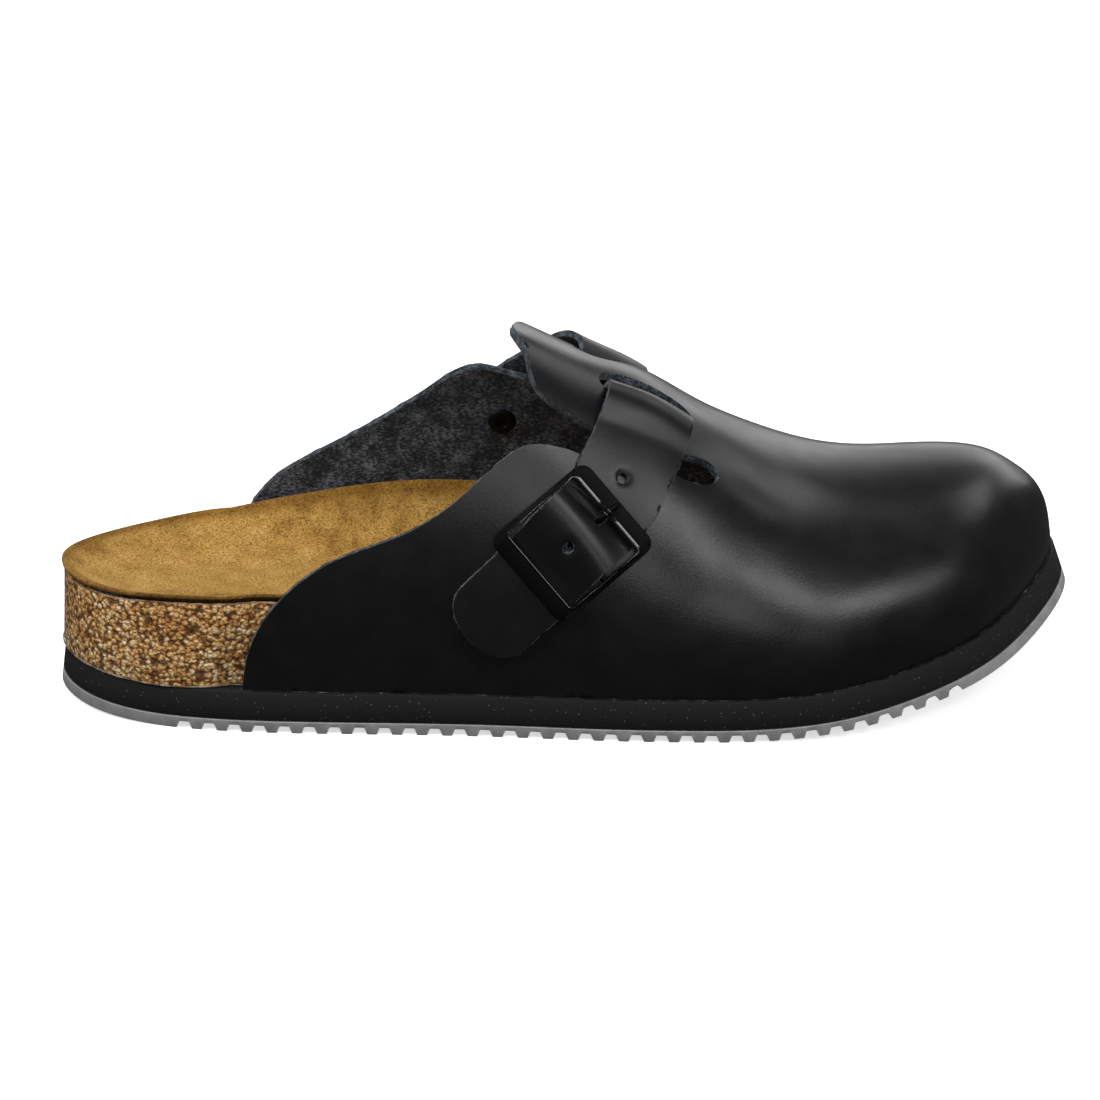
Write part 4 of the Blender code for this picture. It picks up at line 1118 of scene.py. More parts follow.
def moulded_rubber(name, colour):
    """Grey nitrile rubber, moulded: even, matt, slightly marbled by handling dust."""
    material, tree, here = new_material(name, {"Roughness": 0.65, "IOR": 1.5})
    tone = add_node(tree, "ShaderNodeTexNoise", sockets={
        "Vector": here, "Scale": per_metre(5.0), "Detail": 3.0})
    base = add_node(tree, "ShaderNodeValToRGB", sockets={0: (tone, "Fac")},
                    stops=((0.3, "#828283"), (0.5, colour), (0.72, "#9b9b9c")))
    grit = add_node(tree, "ShaderNodeTexNoise", sockets={
        "Vector": here, "Scale": per_metre(0.4), "Detail": 3.0})
    relief = add_node(tree, "ShaderNodeBump", sockets={
        "Height": (grit, "Fac"), "Distance": 0.05 * MM})
    dress(tree, base=(base, "Color"), normal=(relief, "Normal"))
    return material


def black_lacquer(name, colour, roughness, shine):
    """Die-cast zinc, stove-lacquered black, with soft orange peel: matt where it is cast, and
    glossy where it was rubbed in the tumbling."""
    material, tree, here = new_material(name, {
        "Base Color": linear(colour), "Roughness": roughness, "IOR": 1.5,
        "Specular IOR Level": shine})
    peel = add_node(tree, "ShaderNodeTexNoise", sockets={
        "Vector": here, "Scale": per_metre(1.1), "Detail": 1.0})
    relief = add_node(tree, "ShaderNodeBump", sockets={
        "Height": (peel, "Fac"), "Distance": 0.02 * MM})
    dress(tree, normal=(relief, "Normal"))
    return material


def dried_cement(name, thin, middling, thick):
    """Contact cement squeezed from a seam, dried whitish in broken runs: its three colours."""
    material, tree, here = new_material(name, {"Roughness": 0.7, "Specular IOR Level": 0.2})
    runs = add_node(tree, "ShaderNodeTexNoise", sockets={
        "Vector": here, "Scale": per_metre(7.0), "Detail": 5.0, "Roughness": 0.75})
    base = add_node(tree, "ShaderNodeValToRGB", sockets={0: (runs, "Fac")},
                    stops=((0.48, thin), (0.58, middling), (0.72, thick)))
    dress(tree, base=(base, "Color"))
    return material


def colour_setting(name, words, colour):
    """A colour that a user would change, given as an sRGB hex value."""
    value = [int(colour[i:i + 2], 16) / 255 for i in (1, 3, 5)]
    return bpy.props.FloatVectorProperty(name=name, description=words, default=value, size=3,
                                         subtype="COLOR_GAMMA", min=0, max=1)


def as_hex(value):
    """Hex value of an sRGB colour setting."""
    return "#" + "".join(f"{int(round(channel * 255)):02x}" for channel in value)


class SoleSettings(bpy.types.PropertyGroup):
    """Sizes and colours of the outsole, midsole, cork and insole."""
    lug_depth: bpy.props.FloatProperty(name="Lug depth", description="How deep the tread is cut",
                                       default=LUG_DEPTH, unit="LENGTH", precision=4)
    granule: bpy.props.FloatProperty(name="Cork granule", default=1.35, min=0.5,
                                     description="Width of a cork granule in millimetres")
    outsole: colour_setting("Outsole", "Rubber of the tread", "#8f8f90")
    midsole: colour_setting("Midsole", "Foam between tread and footbed", "#1f1f20")
    insole: colour_setting("Insole", "Suede of the insole", "#c09a57")


class UpperSettings(bpy.types.PropertyGroup):
    """Sizes and colours of the leather."""
    grain: bpy.props.FloatProperty(name="Grain", default=0.75, min=0.2,
                                   description="Width of a pebble of the grain in millimetres")
    edge_fuzz: bpy.props.FloatProperty(name="Edge fuzz", default=0.00012, unit="LENGTH",
                                       precision=5, description="Roughness of the cut edges")
    crease: bpy.props.FloatProperty(name="Crease", default=0.0003, unit="LENGTH", precision=5,
                                    description="Depth of the vamp's drawn creases")
    leather: colour_setting("Leather", "Grain side of the leather", "#0d0d0f")
    flesh: colour_setting("Inside", "Flesh side of the leather", "#292b30")


class FittingSettings(bpy.types.PropertyGroup):
    """Sizes and colours of the buckle, prong and rivet."""
    rim: bpy.props.FloatProperty(name="Rim", default=0.0009, unit="LENGTH", precision=5,
                                 description="Width of the buckle's raised inner rim")
    lacquer: colour_setting("Lacquer", "Lacquer of the metal", "#060606")


class StageSettings(bpy.types.PropertyGroup):
    """Camera and light."""
    azimuth: bpy.props.FloatProperty(name="Azimuth", default=math.radians(-3.5), subtype="ANGLE",
                                     description="Direction of the camera round the shoe")
    elevation: bpy.props.FloatProperty(name="Elevation", default=math.radians(20.5),
                                       subtype="ANGLE",
                                       description="Angle of the camera over the floor")
    distance: bpy.props.FloatProperty(name="Distance", default=1.6, unit="LENGTH",
                                      description="Distance of the camera from its target")
    light: bpy.props.FloatProperty(name="Light", default=1.0, min=0,
                                   description="Strength of all lights together")


GROUPS = {"clog_sole": SoleSettings, "clog_upper": UpperSettings, "clog_fittings": FittingSettings,
          "clog_stage": StageSettings}


class MakeOutsole(bpy.types.Operator):
    """Grey rubber tread with transverse lugs, smooth round heel and toe"""
    bl_idname = "clog.make_outsole"
    bl_label = "Outsole"

    def execute(self, context):
        depth = context.scene.clog_sole.lug_depth
        lugs = np.arange(-LUG_PITCH, LUG_LAST, LUG_PITCH)
        corners = np.array([-LUG_ROOT, -LUG_FLAT, LUG_FLAT, LUG_ROOT]) / 2
        places = (lugs[:, None] + corners[None]).ravel()[2:]
        places = np.append(places, lugs[-1] + LUG_PITCH + corners[:2])
        cut = np.tile([0, depth, depth, 0], len(lugs))
        soft = np.concatenate([places - LUG_EASE, places, places + LUG_EASE])
        angles = edge_angles(300, station_angle((soft - HEEL_BACK) / SOLE_LENGTH))

        def tread(plan):
            """Trapezoid lugs along the length, their corners eased by a 1-2-1 mean."""
            near = [np.interp(plan[:, 0] + way, places, cut, left=0, right=0)
                    for way in (-LUG_EASE, 0, LUG_EASE)]
            return (near[0] + 2 * near[1] + near[2]) / 4

        def above(lift):
            """Height over the lugs and the web between them."""
            return lambda plan: tread(plan) + lift

        # Insets and heights round the edge, from the top over a straight wall to the eased tread
        top = level(OUTSOLE_THICKNESS)
        rings = [(0.0009, top), (0.0002, top), (0.0, level(OUTSOLE_THICKNESS - 0.0002)),
                 (0.0, above(0.0004)), (0.00012, above(0.00012)), (0.0004, above(0.0)),
                 (0.0012, above(0.0))]
        rubber = moulded_rubber("moulded grey nitrile rubber",
                                as_hex(context.scene.clog_sole.outsole))
        thing = sole_solid("outsole_tread", angles, rings, top, tread, sole_point, [rubber], 12)
        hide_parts("outsole")
        return {"FINISHED"}


def covered_ends():
    """Angles from the heel back at which the upper's feather edge ends, lateral and medial."""
    return tuple(math.pi - pattern(FREE_EDGE[end][0], 0)[0] for end in (0, -1))


class MakeMidsole(bpy.types.Operator):
    """Black foam slab between tread and footbed, and the dried cement along its top seam"""
    bl_idname = "clog.make_midsole"
    bl_label = "Midsole"

    def execute(self, context):
        # Insets and heights round the edge, from the rounded top corner to the rounded foot
        rounded = ((0.0012, MIDSOLE_TOP), (0.0004, MIDSOLE_TOP), (0.0001, MIDSOLE_TOP - 0.0001),
                   (0.0, MIDSOLE_TOP - 0.0004), (0.0, (MIDSOLE_TOP + MIDSOLE_FOOT) / 2),
                   (0.0, MIDSOLE_FOOT + 0.0003), (0.0002, MIDSOLE_FOOT), (0.0012, MIDSOLE_FOOT))
        rings = [(inset, level(height)) for inset, height in rounded]
        foam = foam_rubber("skived black EVA foam", as_hex(context.scene.clog_sole.midsole))
        thing = sole_solid("midsole_slab", edge_angles(360), rings, level(MIDSOLE_TOP),
                           level(MIDSOLE_FOOT), sole_point, [foam], 10)
        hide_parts("midsole")
        lateral, medial = covered_ends()
        proud, over = SEAM_CEMENT_PLACE
        angle = np.linspace(medial, 2 * math.pi - lateral, 700)
        x, y = sole_edge(angle, FEATHER_LEDGE - proud)
        cement = dried_cement("dried contact cement", "#0d0d0d", "#2c2b29", "#8a867f")
        line = cement_line("seam_cement", angle, sole_point(x, y, MIDSOLE_TOP + over),
                           SEAM_CEMENT, cement)
        return {"FINISHED"}


def footbed_inset(loop, extra=0.0, lag=RIM_LAG, covered=RIM_INSET):
    """Inset of the footbed's edge: proud of the sole's at the heel, and inside the upper in front,
    by the cube of the way there. The rim is drawn in later than the foot of the wall, and the
    lateral side later than the medial one."""
    x, _ = sole_edge(loop)
    start = HEEL_CLEAR_START + lag + np.where(loop > math.pi, LATERAL_LAG, 0)
    share = np.clip((x - start) / HEEL_CLEAR_RUN, 0, 1)**3
    toe = step_up((x - TOE_CLEAR_START) / (TOE_TIP - TOE_CLEAR_START))
    return HEEL_EDGE_INSET + (covered - HEEL_EDGE_INSET) * share + extra + TOE_CLEAR * toe


# Inset of the cork's foot inside the upper, width of the darker band round the insole's rim, and
# the rim itself in plan
COVERED_FOOT = FEATHER_LEDGE + UPPER_WALL + 2 * SEAM_GAP
RIM_DARK_BAND = 0.012
RIM_ANGLES = np.arange(1600) * 2 * math.pi / 1600
RIM = np.stack(sole_edge(RIM_ANGLES, footbed_inset(RIM_ANGLES)), axis=1)


def insole_height(plan):
    """Height of the insole's face over the tread: a bed that rises to the rim like a dish."""
    rows = np.array(FOOTBED)
    station = (plan[:, 0] - HEEL_BACK) / SOLE_LENGTH
    bed, lateral, medial = (HEEL_RIM_HEIGHT * smooth_curve(rows[:, 0], rows[:, i])(station)
                            for i in (1, 2, 3))
    side = step_up(0.5 + plan[:, 1] / BALL_WIDTH)
    dish = np.clip(1 - nearest_gap(plan, RIM) / DISH_WIDTH, 0, 1)**DISH_POWER
    return bed + (lateral + (medial - lateral) * side - bed) * dish


class MakeFootbed(bpy.types.Operator):
    """Cork footbed, the cement round its foot, and the suede insole over it"""
    bl_idname = "clog.make_footbed"
    bl_label = "Footbed and insole"

    def execute(self, context):
        settings = context.scene.clog_sole
        angles = edge_angles(320)

        def cork_top(plan):
            """Cork's face, a seam below the insole's."""
            return insole_height(plan) - INSOLE_THICKNESS - INSOLE_SEAM

        def wall(share, drop=0.0):
            """Height at a share of the wall, from its foot to its rim."""
            return lambda plan: SEAT + (cork_top(plan) - drop - SEAT) * share

        def edge(share, extra=0.0):
            """Inset at a share of the wall: straight between the foot's and the rim's."""
            return lambda loop: (share * footbed_inset(loop, INSOLE_OVERHANG)
                                 + (1 - share) * footbed_inset(loop, 0, 0, COVERED_FOOT) + extra)

        # From the top over the rounded rim, with the latex band in it, down the wall to its foot
        cork_rings = [(edge(1.0, 0.0010), cork_top), (edge(1.0, 0.0002), wall(1.0)),
                      (edge(1.0), wall(1.0, 0.0002)), (edge(1.0, -0.0001), wall(1.0, 0.0006)),
                      (edge(0.66), wall(0.66)), (edge(0.33), wall(0.33)), (edge(0.03), wall(0.03)),
                      (edge(0.0, 0.0003), wall(0.0)), (edge(0.0, 0.0012), wall(0.0))]
        cork = lacquered_cork("lacquered granulated cork", settings.granule)
        latex = dried_latex("dried latex")
        thing = sole_solid("cork_footbed", angles, cork_rings, cork_top, level(SEAT),
                           footbed_point, [cork, latex], 30, (0, 0, 1, 0, 0, 0, 0, 0))
        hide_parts("footbed")
        lateral, medial = covered_ends()
        proud, over = CORK_CEMENT_PLACE
        angle = np.linspace(-lateral, medial, 420)
        foot = footbed_inset(np.mod(angle, 2 * math.pi), 0, 0, COVERED_FOOT)
        x, y = sole_edge(angle, foot - proud)
        cement = dried_cement("dried cork cement", "#5b4a38", "#8d7f6d", "#c5beb2")
        line = cement_line("cork_cement", angle, footbed_point(x, y, SEAT + over + 0 * x),
                           CORK_CEMENT, cement)

        def face(drop):
            """Height at a depth below the insole's face."""
            return lambda plan: insole_height(plan) - drop

        def cover(extra):
            """Inset from the rim."""
            return lambda loop: footbed_inset(loop, extra)

        def darkened(plan):
            """Share of the rim's darker band: 1 on the rim, and falling evenly to 0 at the band's
            inner side.
            """
            return np.clip(1 - nearest_gap(plan, RIM) / RIM_DARK_BAND, 0, 1)

        # Insets and depths over the suede's rounded rim and down its cut edge
        rows = ((0.0026, 0.0), (0.0012, 0.00006), (0.0005, 0.00024), (0.0001, 0.0006),
                (0.0, 0.0010), (0.0001, 0.0014), (0.0004, 0.0017), (0.0012, INSOLE_THICKNESS))
        rings = [(cover(extra), face(drop)) for extra, drop in rows]
        finishes = [insole_suede("tan split suede", as_hex(settings.insole)),
                    dark_cut_edge("burnished suede edge")]
        thing = sole_solid("suede_insole", angles, rings, face(0.0), face(INSOLE_THICKNESS),
                           footbed_point, finishes, 40, (0, 0, 0, 0, 0, 1, 1), {"rim": darkened})
        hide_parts("insole")
        return {"FINISHED"}


def unrolled(pattern_points):
    """Near-true flat shape of pattern points: the run along the ridge from the toe as a radius, and
    an angle that makes each arc as long as its section, so that triangles stay even. Also gives
    the reaches, runs and girths that it reads."""
    reach = np.hypot(*pattern_points.T)
    turn = np.arctan2(pattern_points[:, 1], pattern_points[:, 0])
    table = np.linspace(0.0, PATTERN_END, 120)
    girth = [0.0]
    ridge = upper_surface(table, 0 * table)
    run = np.concatenate([[0], np.cumsum(np.linalg.norm(np.diff(ridge, axis=0), axis=1))])
    angle = np.linspace(-math.pi / 2, math.pi / 2, 60)
    for length in table[1:]:
        section = upper_surface(length * np.cos(angle), length * np.sin(angle))
        girth.append(np.linalg.norm(np.diff(section, axis=0), axis=1).sum())
    girth = np.array(girth)
    spread = np.append(1.0, np.clip(girth[1:] / (math.pi * np.maximum(run[1:], 1e-6)), 0.2, 1.2))
    radius = np.interp(reach, table, run)
    angle = turn * np.interp(reach, table, spread)
    return np.stack([radius * np.cos(angle), radius * np.sin(angle)], axis=1), (table, run, girth)


# Soft creases of the vamp, as station and turn of both ends, depth as a share of the crease
# setting, and half width in metres
CREASES = (
    (0.640, -0.345, 0.700, -0.420, 1.0, 0.0045),
    (0.640, 0.345, 0.700, 0.400, 0.8, 0.0045),
    (0.585, -0.160, 0.660, -0.250, 0.7, 0.0060),
    (0.720, -0.600, 0.900, -0.500, 0.9, 0.0120),
)


def creased(points, places, depth):
    """How far each point sinks: a bell across each crease's line, fading to its ends."""
    sink = np.zeros(len(points))
    for s0, t0, s1, t1, share, width in CREASES:
        ends = np.stack(pattern(np.array([s0, s1]), np.array([t0, t1])), axis=1)
        a, b = upper_surface(*ends.T)
        along = b - a
        part = ((places - a) @ along) / (along @ along)
        foot = a + np.clip(part, 0, 1)[:, None] * along
        gap = np.linalg.norm(places - foot, axis=1)
        fade = np.sin(math.pi * np.clip(part * 0.8 + 0.1, 0, 1))
        sink += depth * share * np.exp(-(gap / width)**2) * fade
    return sink


class MakeUpper(bpy.types.Operator):
    """Black leather upper: vamp, tongue with two slits, throat notches and quarters"""
    bl_idname = "clog.make_upper"
    bl_label = "Upper"

    def execute(self, context):
        settings = context.scene.clog_upper
        spacing = UPPER_SPACING
        free, _, _ = through(FREE_EDGE, FREE_EDGE_SPACING)
        lowest = np.hypot(*free[[-1, 0]].T)
        side = np.linspace(lowest[0], -lowest[1], FEATHER_POINTS)[1:-1]
        outline = np.concatenate([free, np.stack([0 * side, side], axis=1)])
        middle, along, across = STRAP.frame(np.array([STRAP.row(RIVET_ROW)]))
        ring = circle(RIVET_HOLE, 24)
        rivet_hole = middle + along * ring[:, :1] + across * ring[:, 1:]
        slits = [spaced_loop(slit_loop(row, 400), lambda flat: upper_surface(*flat.T),
                             SLIT_SPACING) for row in (FAR_SLIT_ROW, NEAR_SLIT_ROW)]
        loops = [outline, *slits, rivet_hole]
        _, (table, run, girth) = unrolled(outline[:1])
        filling = []
        filled = np.interp(PATTERN_FILLED, table, run)
        # Rows of a triangle net round the toe, each half a spacing on from the last
        for number, length in enumerate(np.arange(spacing, filled, spacing * 0.87)):
            reach = np.interp(length, run, table)
            count = max(5, int(round(np.interp(reach, table, girth) / spacing)))
            turn = ((np.arange(count) + 0.5 * (number % 2) + 0.25) / count * 2 - 1) * math.pi / 2
            filling.append(np.stack([reach * np.cos(turn), reach * np.sin(turn)], axis=1))
        filling = np.concatenate(filling)
        flat_loops = [unrolled(loop)[0] for loop in loops]
        faces, keep = cut_flat(flat_loops, unrolled(filling)[0], spacing * 0.5)
        points = np.concatenate([*loops, filling[keep]])
        outer = upper_surface(*points.T)
        normals = upper_normal(*points.T)
        outer = outer - normals * creased(points, outer, settings.crease)[:, None]
        finishes = [smooth_leather("corrected black cattle hide", as_hex(settings.leather),
                                   settings.grain, rough=0.31),
                    raw_cut_edge("raw blue-grey cut edge"),
                    flesh_side("charcoal flesh side", as_hex(settings.flesh))]
        thing = leather_sheet("leather_upper", [len(loop) for loop in loops], outer, normals,
                              faces, UPPER_WALL, finishes, settings.edge_fuzz)
        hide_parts("upper")
        return {"FINISHED"}


class MakeStrap(bpy.types.Operator):
    """Leather strap, threaded through both slits and over the buckle's centre bar"""
    bl_idname = "clog.make_strap"
    bl_label = "Strap"

    def execute(self, context):
        settings = context.scene.clog_upper
        half = STRAP_WIDTH / 2
        step = STRAP_SPACING
        turn = np.linspace(-math.pi / 2, math.pi / 2, 40)
        curve = half * STRAP_END_DEPTH * (1 - np.cos(turn))
        tip = np.stack([STRAP.length - curve, half * np.sin(turn)], axis=1)
        root = np.stack([curve, -half * np.sin(turn)], axis=1)
        side = np.arange(half, STRAP.length - half, step)
        outline = np.concatenate([root, np.stack([side, 0 * side - half], axis=1), tip,
                                  np.stack([side[::-1], 0 * side + half], axis=1)])
        before, prong, after = strap_hole_places()
        holes = [circle(RIVET_HOLE, 28) + (STRAP.row(RIVET_ROW), 0)]
        holes += [circle(STRAP_HOLE, 28) + (place, 0) for place in (before, after)]
        slot = circle(STRAP_HOLE, 32) * (PRONG_HOLE_LENGTH / STRAP_HOLE, 1) + (prong, 0)
        loops = [outline, slot, *holes]
        columns = np.arange(0, STRAP.length, step * 1.2)
        rows = np.arange(-half, half, step * 1.35)
        x, y = np.meshgrid(columns, rows, indexing="ij")
        y = y + step * 0.67 * (np.arange(len(columns))[:, None] % 2)
        filling = np.stack([x.ravel(), y.ravel()], axis=1)
        faces, keep = cut_flat(loops, filling, step * 0.5)
        flat = np.concatenate([*loops, filling[keep]])
        at, across = flat.T
        spot = STRAP.place(at, across)
        middle = upper_surface(*spot.T) + upper_normal(*spot.T) * strap_rise(at)[:, None]
        # Each point's normal is the sum of its triangles' own, longer where a triangle is larger
        a, b, c = (middle[faces[:, i]] for i in range(3))
        turned = np.cross(b - a, c - a)
        normals = np.zeros_like(middle)
        for i in range(3):
            np.add.at(normals, faces[:, i], turned)
        normals /= np.linalg.norm(normals, axis=1, keepdims=True)
        if (normals * upper_normal(*spot.T)).sum() < 0:
            normals = -normals
        sink = np.zeros(len(flat))
        for place in (before, after):
            gap = np.hypot(at - place, across) - STRAP_HOLE / 2
            sink += HOLE_SINK * np.exp(-(np.clip(gap, 0, None) / HOLE_SINK_WIDTH)**2)
        outer = middle + normals * (STRAP_THICKNESS / 2 - sink)[:, None]
        finishes = [smooth_leather("black strap hide", as_hex(settings.leather), settings.grain,
                                   rough=0.37),
                    raw_cut_edge("raw strap edge"),
                    flesh_side("strap flesh side", as_hex(settings.flesh))]
        thing = leather_sheet("leather_strap", [len(loop) for loop in loops], outer, normals,
                              faces, STRAP_THICKNESS, finishes, settings.edge_fuzz)
        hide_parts("strap")
        return {"FINISHED"}


def buckle_axes():
    """Centre on the upper under the buckle, and its directions: to the strap's tip, across, out."""
    middle, along, _ = STRAP.frame(np.array([STRAP.row(BUCKLE_ROW)]))
    centre = upper_surface(*middle.T)[0]
    out = upper_normal(*middle.T)[0]
    ahead = upper_surface(*(middle + along * 1e-3).T)[0] - centre
    ahead -= out * np.dot(ahead, out)
    ahead /= np.linalg.norm(ahead)
    return centre, ahead, np.cross(out, ahead), out


def round_box(low, high, corner, arc=9, straight=14):
    """Loop of a box with round corners, with the same count of points in each corner and side."""
    spots = []
    for i, (x, y) in enumerate(((high[0], high[1]), (low[0], high[1]), (low[0], low[1]),
                                (high[0], low[1]))):
        cx = x - math.copysign(corner, x - (low[0] + high[0]) / 2)
        cy = y - math.copysign(corner, y - (low[1] + high[1]) / 2)
        angle = (i + np.linspace(0, 1, arc)) * math.pi / 2
        spots.append(np.stack([cx + corner * np.cos(angle), cy + corner * np.sin(angle)], axis=1))
    loop = []
    for i in range(4):
        loop.append(spots[i])
        share = np.linspace(0, 1, straight + 2)[1:-1, None]
        loop.append(spots[i][-1] + share * (spots[(i + 1) % 4][0] - spots[i][-1]))
    return np.concatenate(loop)


class MakeBuckle(bpy.types.Operator):
    """Black lacquered buckle: frame with a raised inner rim, centre bar and prong"""
    bl_idname = "clog.make_buckle"
    bl_label = "Buckle"

    def execute(self, context):
        settings = context.scene.clog_fittings
        colour = as_hex(settings.lacquer)
        lacquer = black_lacquer("stove-lacquered black zinc", colour, roughness=0.5, shine=0.10)
        rubbed = black_lacquer("rubbed black lacquer", colour, roughness=0.18, shine=1.0)
        centre, ahead, side, out = buckle_axes()
        inner_half = STRAP_WIDTH / 2 + BUCKLE_PLAY
        half = BUCKLE_LENGTH / 2
        window = half - BUCKLE_END_BAR
        outer = round_box((-half, -inner_half - BUCKLE_SIDE_BAR),
                          (half, inner_half + BUCKLE_SIDE_BAR), BUCKLE_CORNER)
        inner = round_box((-window, -inner_half), (window, inner_half), BUCKLE_CORNER / 3)
        wide = np.linalg.norm(outer - inner, axis=1)
        # The raised rim round the window is wider and higher on the bar that the prong rests on,
        # and lower again in a notch under the prong
        rest_bar = step_up((-inner[:, 0] - window + REST_START) / REST_RUN)
        rim = settings.rim * (0.75 + 0.85 * rest_bar)
        flange = BUCKLE_THICKNESS - FLANGE_STEP
        notch = rest_bar * np.exp(-(inner[:, 1] / NOTCH_HALF)**4)
        top = flange + (FLANGE_STEP + REST_RISE * rest_bar) * (1 - notch)
        ease = BUCKLE_EASE
        fall = rim / wide

        def row(share, height):
            """Loop at a share of the way from the outer to the inner box, at a height."""
            plan = outer + (inner - outer) * np.broadcast_to(share, len(outer))[:, None]
            return (centre + plan[:, :1] * ahead + plan[:, 1:] * side
                    + (BUCKLE_SEAT + np.broadcast_to(height, len(outer)))[:, None] * out)

        # Up the outer wall, in over the flange, over the rim's round top and down the inner wall
        rows = [row(ease / wide, 0), row(0, ease), row(0, flange - ease),
                row(ease / wide, flange), row(1 - fall - 0.10 * (1 - fall), flange),
                row(1 - fall, flange + 0.00008),
                row(1 - fall * 0.93, top - ease), row(1 - fall * 0.72, top - 0.00006),
                row(1 - fall * 0.50, top), row(1 - fall * 0.28, top - 0.00006),
                row(1 - fall * 0.07, top - ease), row(1, top - 2 * ease), row(1, ease),
                row(1 - ease / wide, 0)]
        points = np.concatenate(rows)
        size = len(outer)
        faces = []
        for i in range(len(rows)):
            faces += between(i * size + np.arange(size),
                             (i + 1) % len(rows) * size + np.arange(size))
        slots = np.repeat([5 <= i <= 11 for i in range(len(rows))], size)
        frame_piece = new_piece("buckle_ring", points, ordered(points, faces), [lacquer, rubbed],
                                slots, 50)
        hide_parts("buckle_frame")
        across = np.linspace(-inner_half - BAR_SUNK, inner_half + BAR_SUNK, 24)[:, None]
        bar = centre + across * side + (BUCKLE_SEAT + BUCKLE_THICKNESS / 2) * out
        bar_piece = tube("buckle_centre_bar", bar, BUCKLE_CENTRE_BAR / 2, [lacquer], 16, across=out)

        middle = BUCKLE_SEAT + BUCKLE_THICKNESS / 2
        eye = BUCKLE_CENTRE_BAR / 2 + HOOK_GAP
        hook = np.radians(np.linspace(60, -160, 12))
        rest = BUCKLE_SEAT + flange + PRONG_GAP + PRONG_DIAMETER / 2
        low = STRAP_GAP + PRONG_DIAMETER / 2
        knots = [(eye * math.cos(angle), middle + eye * math.sin(angle)) for angle in hook]
        knots += [(-along * window, low + climb * (rest - low)) for along, climb in PRONG_PATH]
        knots = np.array(knots)
        run = np.concatenate([[0], np.cumsum(np.linalg.norm(np.diff(knots, axis=0), axis=1))])
        at = np.linspace(0, run[-1], 160)
        path = np.stack([smooth_curve(run, knots[:, i])(at) for i in (0, 1)], axis=1)
        thick = PRONG_DIAMETER / 2
        width = np.interp(at, [0, run[11], run[12], run[-3], run[-1]],
                          [HOOK_HALF, HOOK_HALF, thick, thick, thick * PRONG_TIP])
        width *= np.interp(at, [run[-1] - PRONG_TIP_ROUND, run[-1]], [1, 0.6])
        places = centre + path[:, :1] * ahead + path[:, 1:] * out
        prong = tube("buckle_pin", places, width, [lacquer], 20, across=side)
        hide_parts("buckle_prong")
        around = np.arange(24) * math.pi / 12
        for number, back in enumerate(COLLARS_BACK):
            ring = (centre - (window + back) * ahead + rest * out + COLLAR_RADIUS
                    * (np.cos(around)[:, None] * side + np.sin(around)[:, None] * out))
            collar = tube(f"prong_collar_{number + 1}", ring, COLLAR_HALF, [rubbed], 10, True,
                          across=ahead)
        return {"FINISHED"}


class MakeRivet(bpy.types.Operator):
    """Tubular rivet that holds the strap to the medial quarter"""
    bl_idname = "clog.make_rivet"
    bl_label = "Rivet"

    def execute(self, context):
        middle, _, _ = STRAP.frame(np.array([STRAP.row(RIVET_ROW)]))
        centre = upper_surface(*middle.T)[0]
        out = upper_normal(*middle.T)[0]
        top = STRAP_GAP + STRAP_THICKNESS + RIVET_CLEARANCE
        under = -(UPPER_WALL + RIVET_CLEARANCE)
        head = RIVET_HEAD / 2
        shank = RIVET_SHANK / 2
        thick = RIVET_HEAD_THICKNESS
        # Turned profile as shares of the head's radius and thickness: domed cap, shank, dimpled cap
        dome = ((0.0, 1.0), (0.3, 0.98), (0.6, 0.86), (0.82, 0.62), (0.95, 0.32), (1.0, 0.08),
                (0.97, 0.0))
        dimple = ((0.97, 0.0), (1.0, 0.10), (0.96, 0.42), (0.85, 0.72), (0.62, 0.86), (0.44, 0.84),
                  (0.38, 0.60), (0.34, 0.10), (0.0, 0.0))
        profile = [(head * r, top + thick * h) for r, h in dome] + [(shank, top), (shank, under)]
        profile += [(head * r, under - thick * h) for r, h in dimple]
        profile = np.array(profile)
        first = np.cross(out, (0, 0, 1.0))
        first /= np.linalg.norm(first)
        second = np.cross(out, first)
        count = 48
        angle = np.arange(count) * 2 * math.pi / count
        round_about = np.cos(angle)[:, None] * first + np.sin(angle)[:, None] * second
        inner = profile[1:-1]
        points = (centre + inner[:, :1, None] * round_about[None]
                  + inner[:, 1:, None] * out).reshape(-1, 3)
        poles = [centre + height * out for height in profile[[0, -1], 1]]
        points = np.concatenate([points, poles])
        faces = []
        first_row = np.arange(count)
        for i in range(len(inner) - 1):
            faces += between(i * count + first_row, (i + 1) * count + first_row)
        last_row = (len(inner) - 1) * count + first_row
        faces += fan(np.roll(first_row, -1), first_row, len(inner) * count)
        faces += fan(last_row, np.roll(last_row, -1), len(inner) * count + 1)
        colour = as_hex(context.scene.clog_fittings.lacquer)
        lacquer = black_lacquer("lacquered rivet steel", colour, roughness=0.5, shine=0.12)
        thing = new_piece("strap_rivet", points, ordered(points, faces), [lacquer])
        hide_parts("rivet")
        return {"FINISHED"}


CAMERA_TARGET = (0.10165, 0.0031, 0.0376)
CAMERA_LENS = 183.27
CAMERA_SENSOR = 36.0
FLOOR_HALF = 6.0
AIR_LIGHT = 0.06

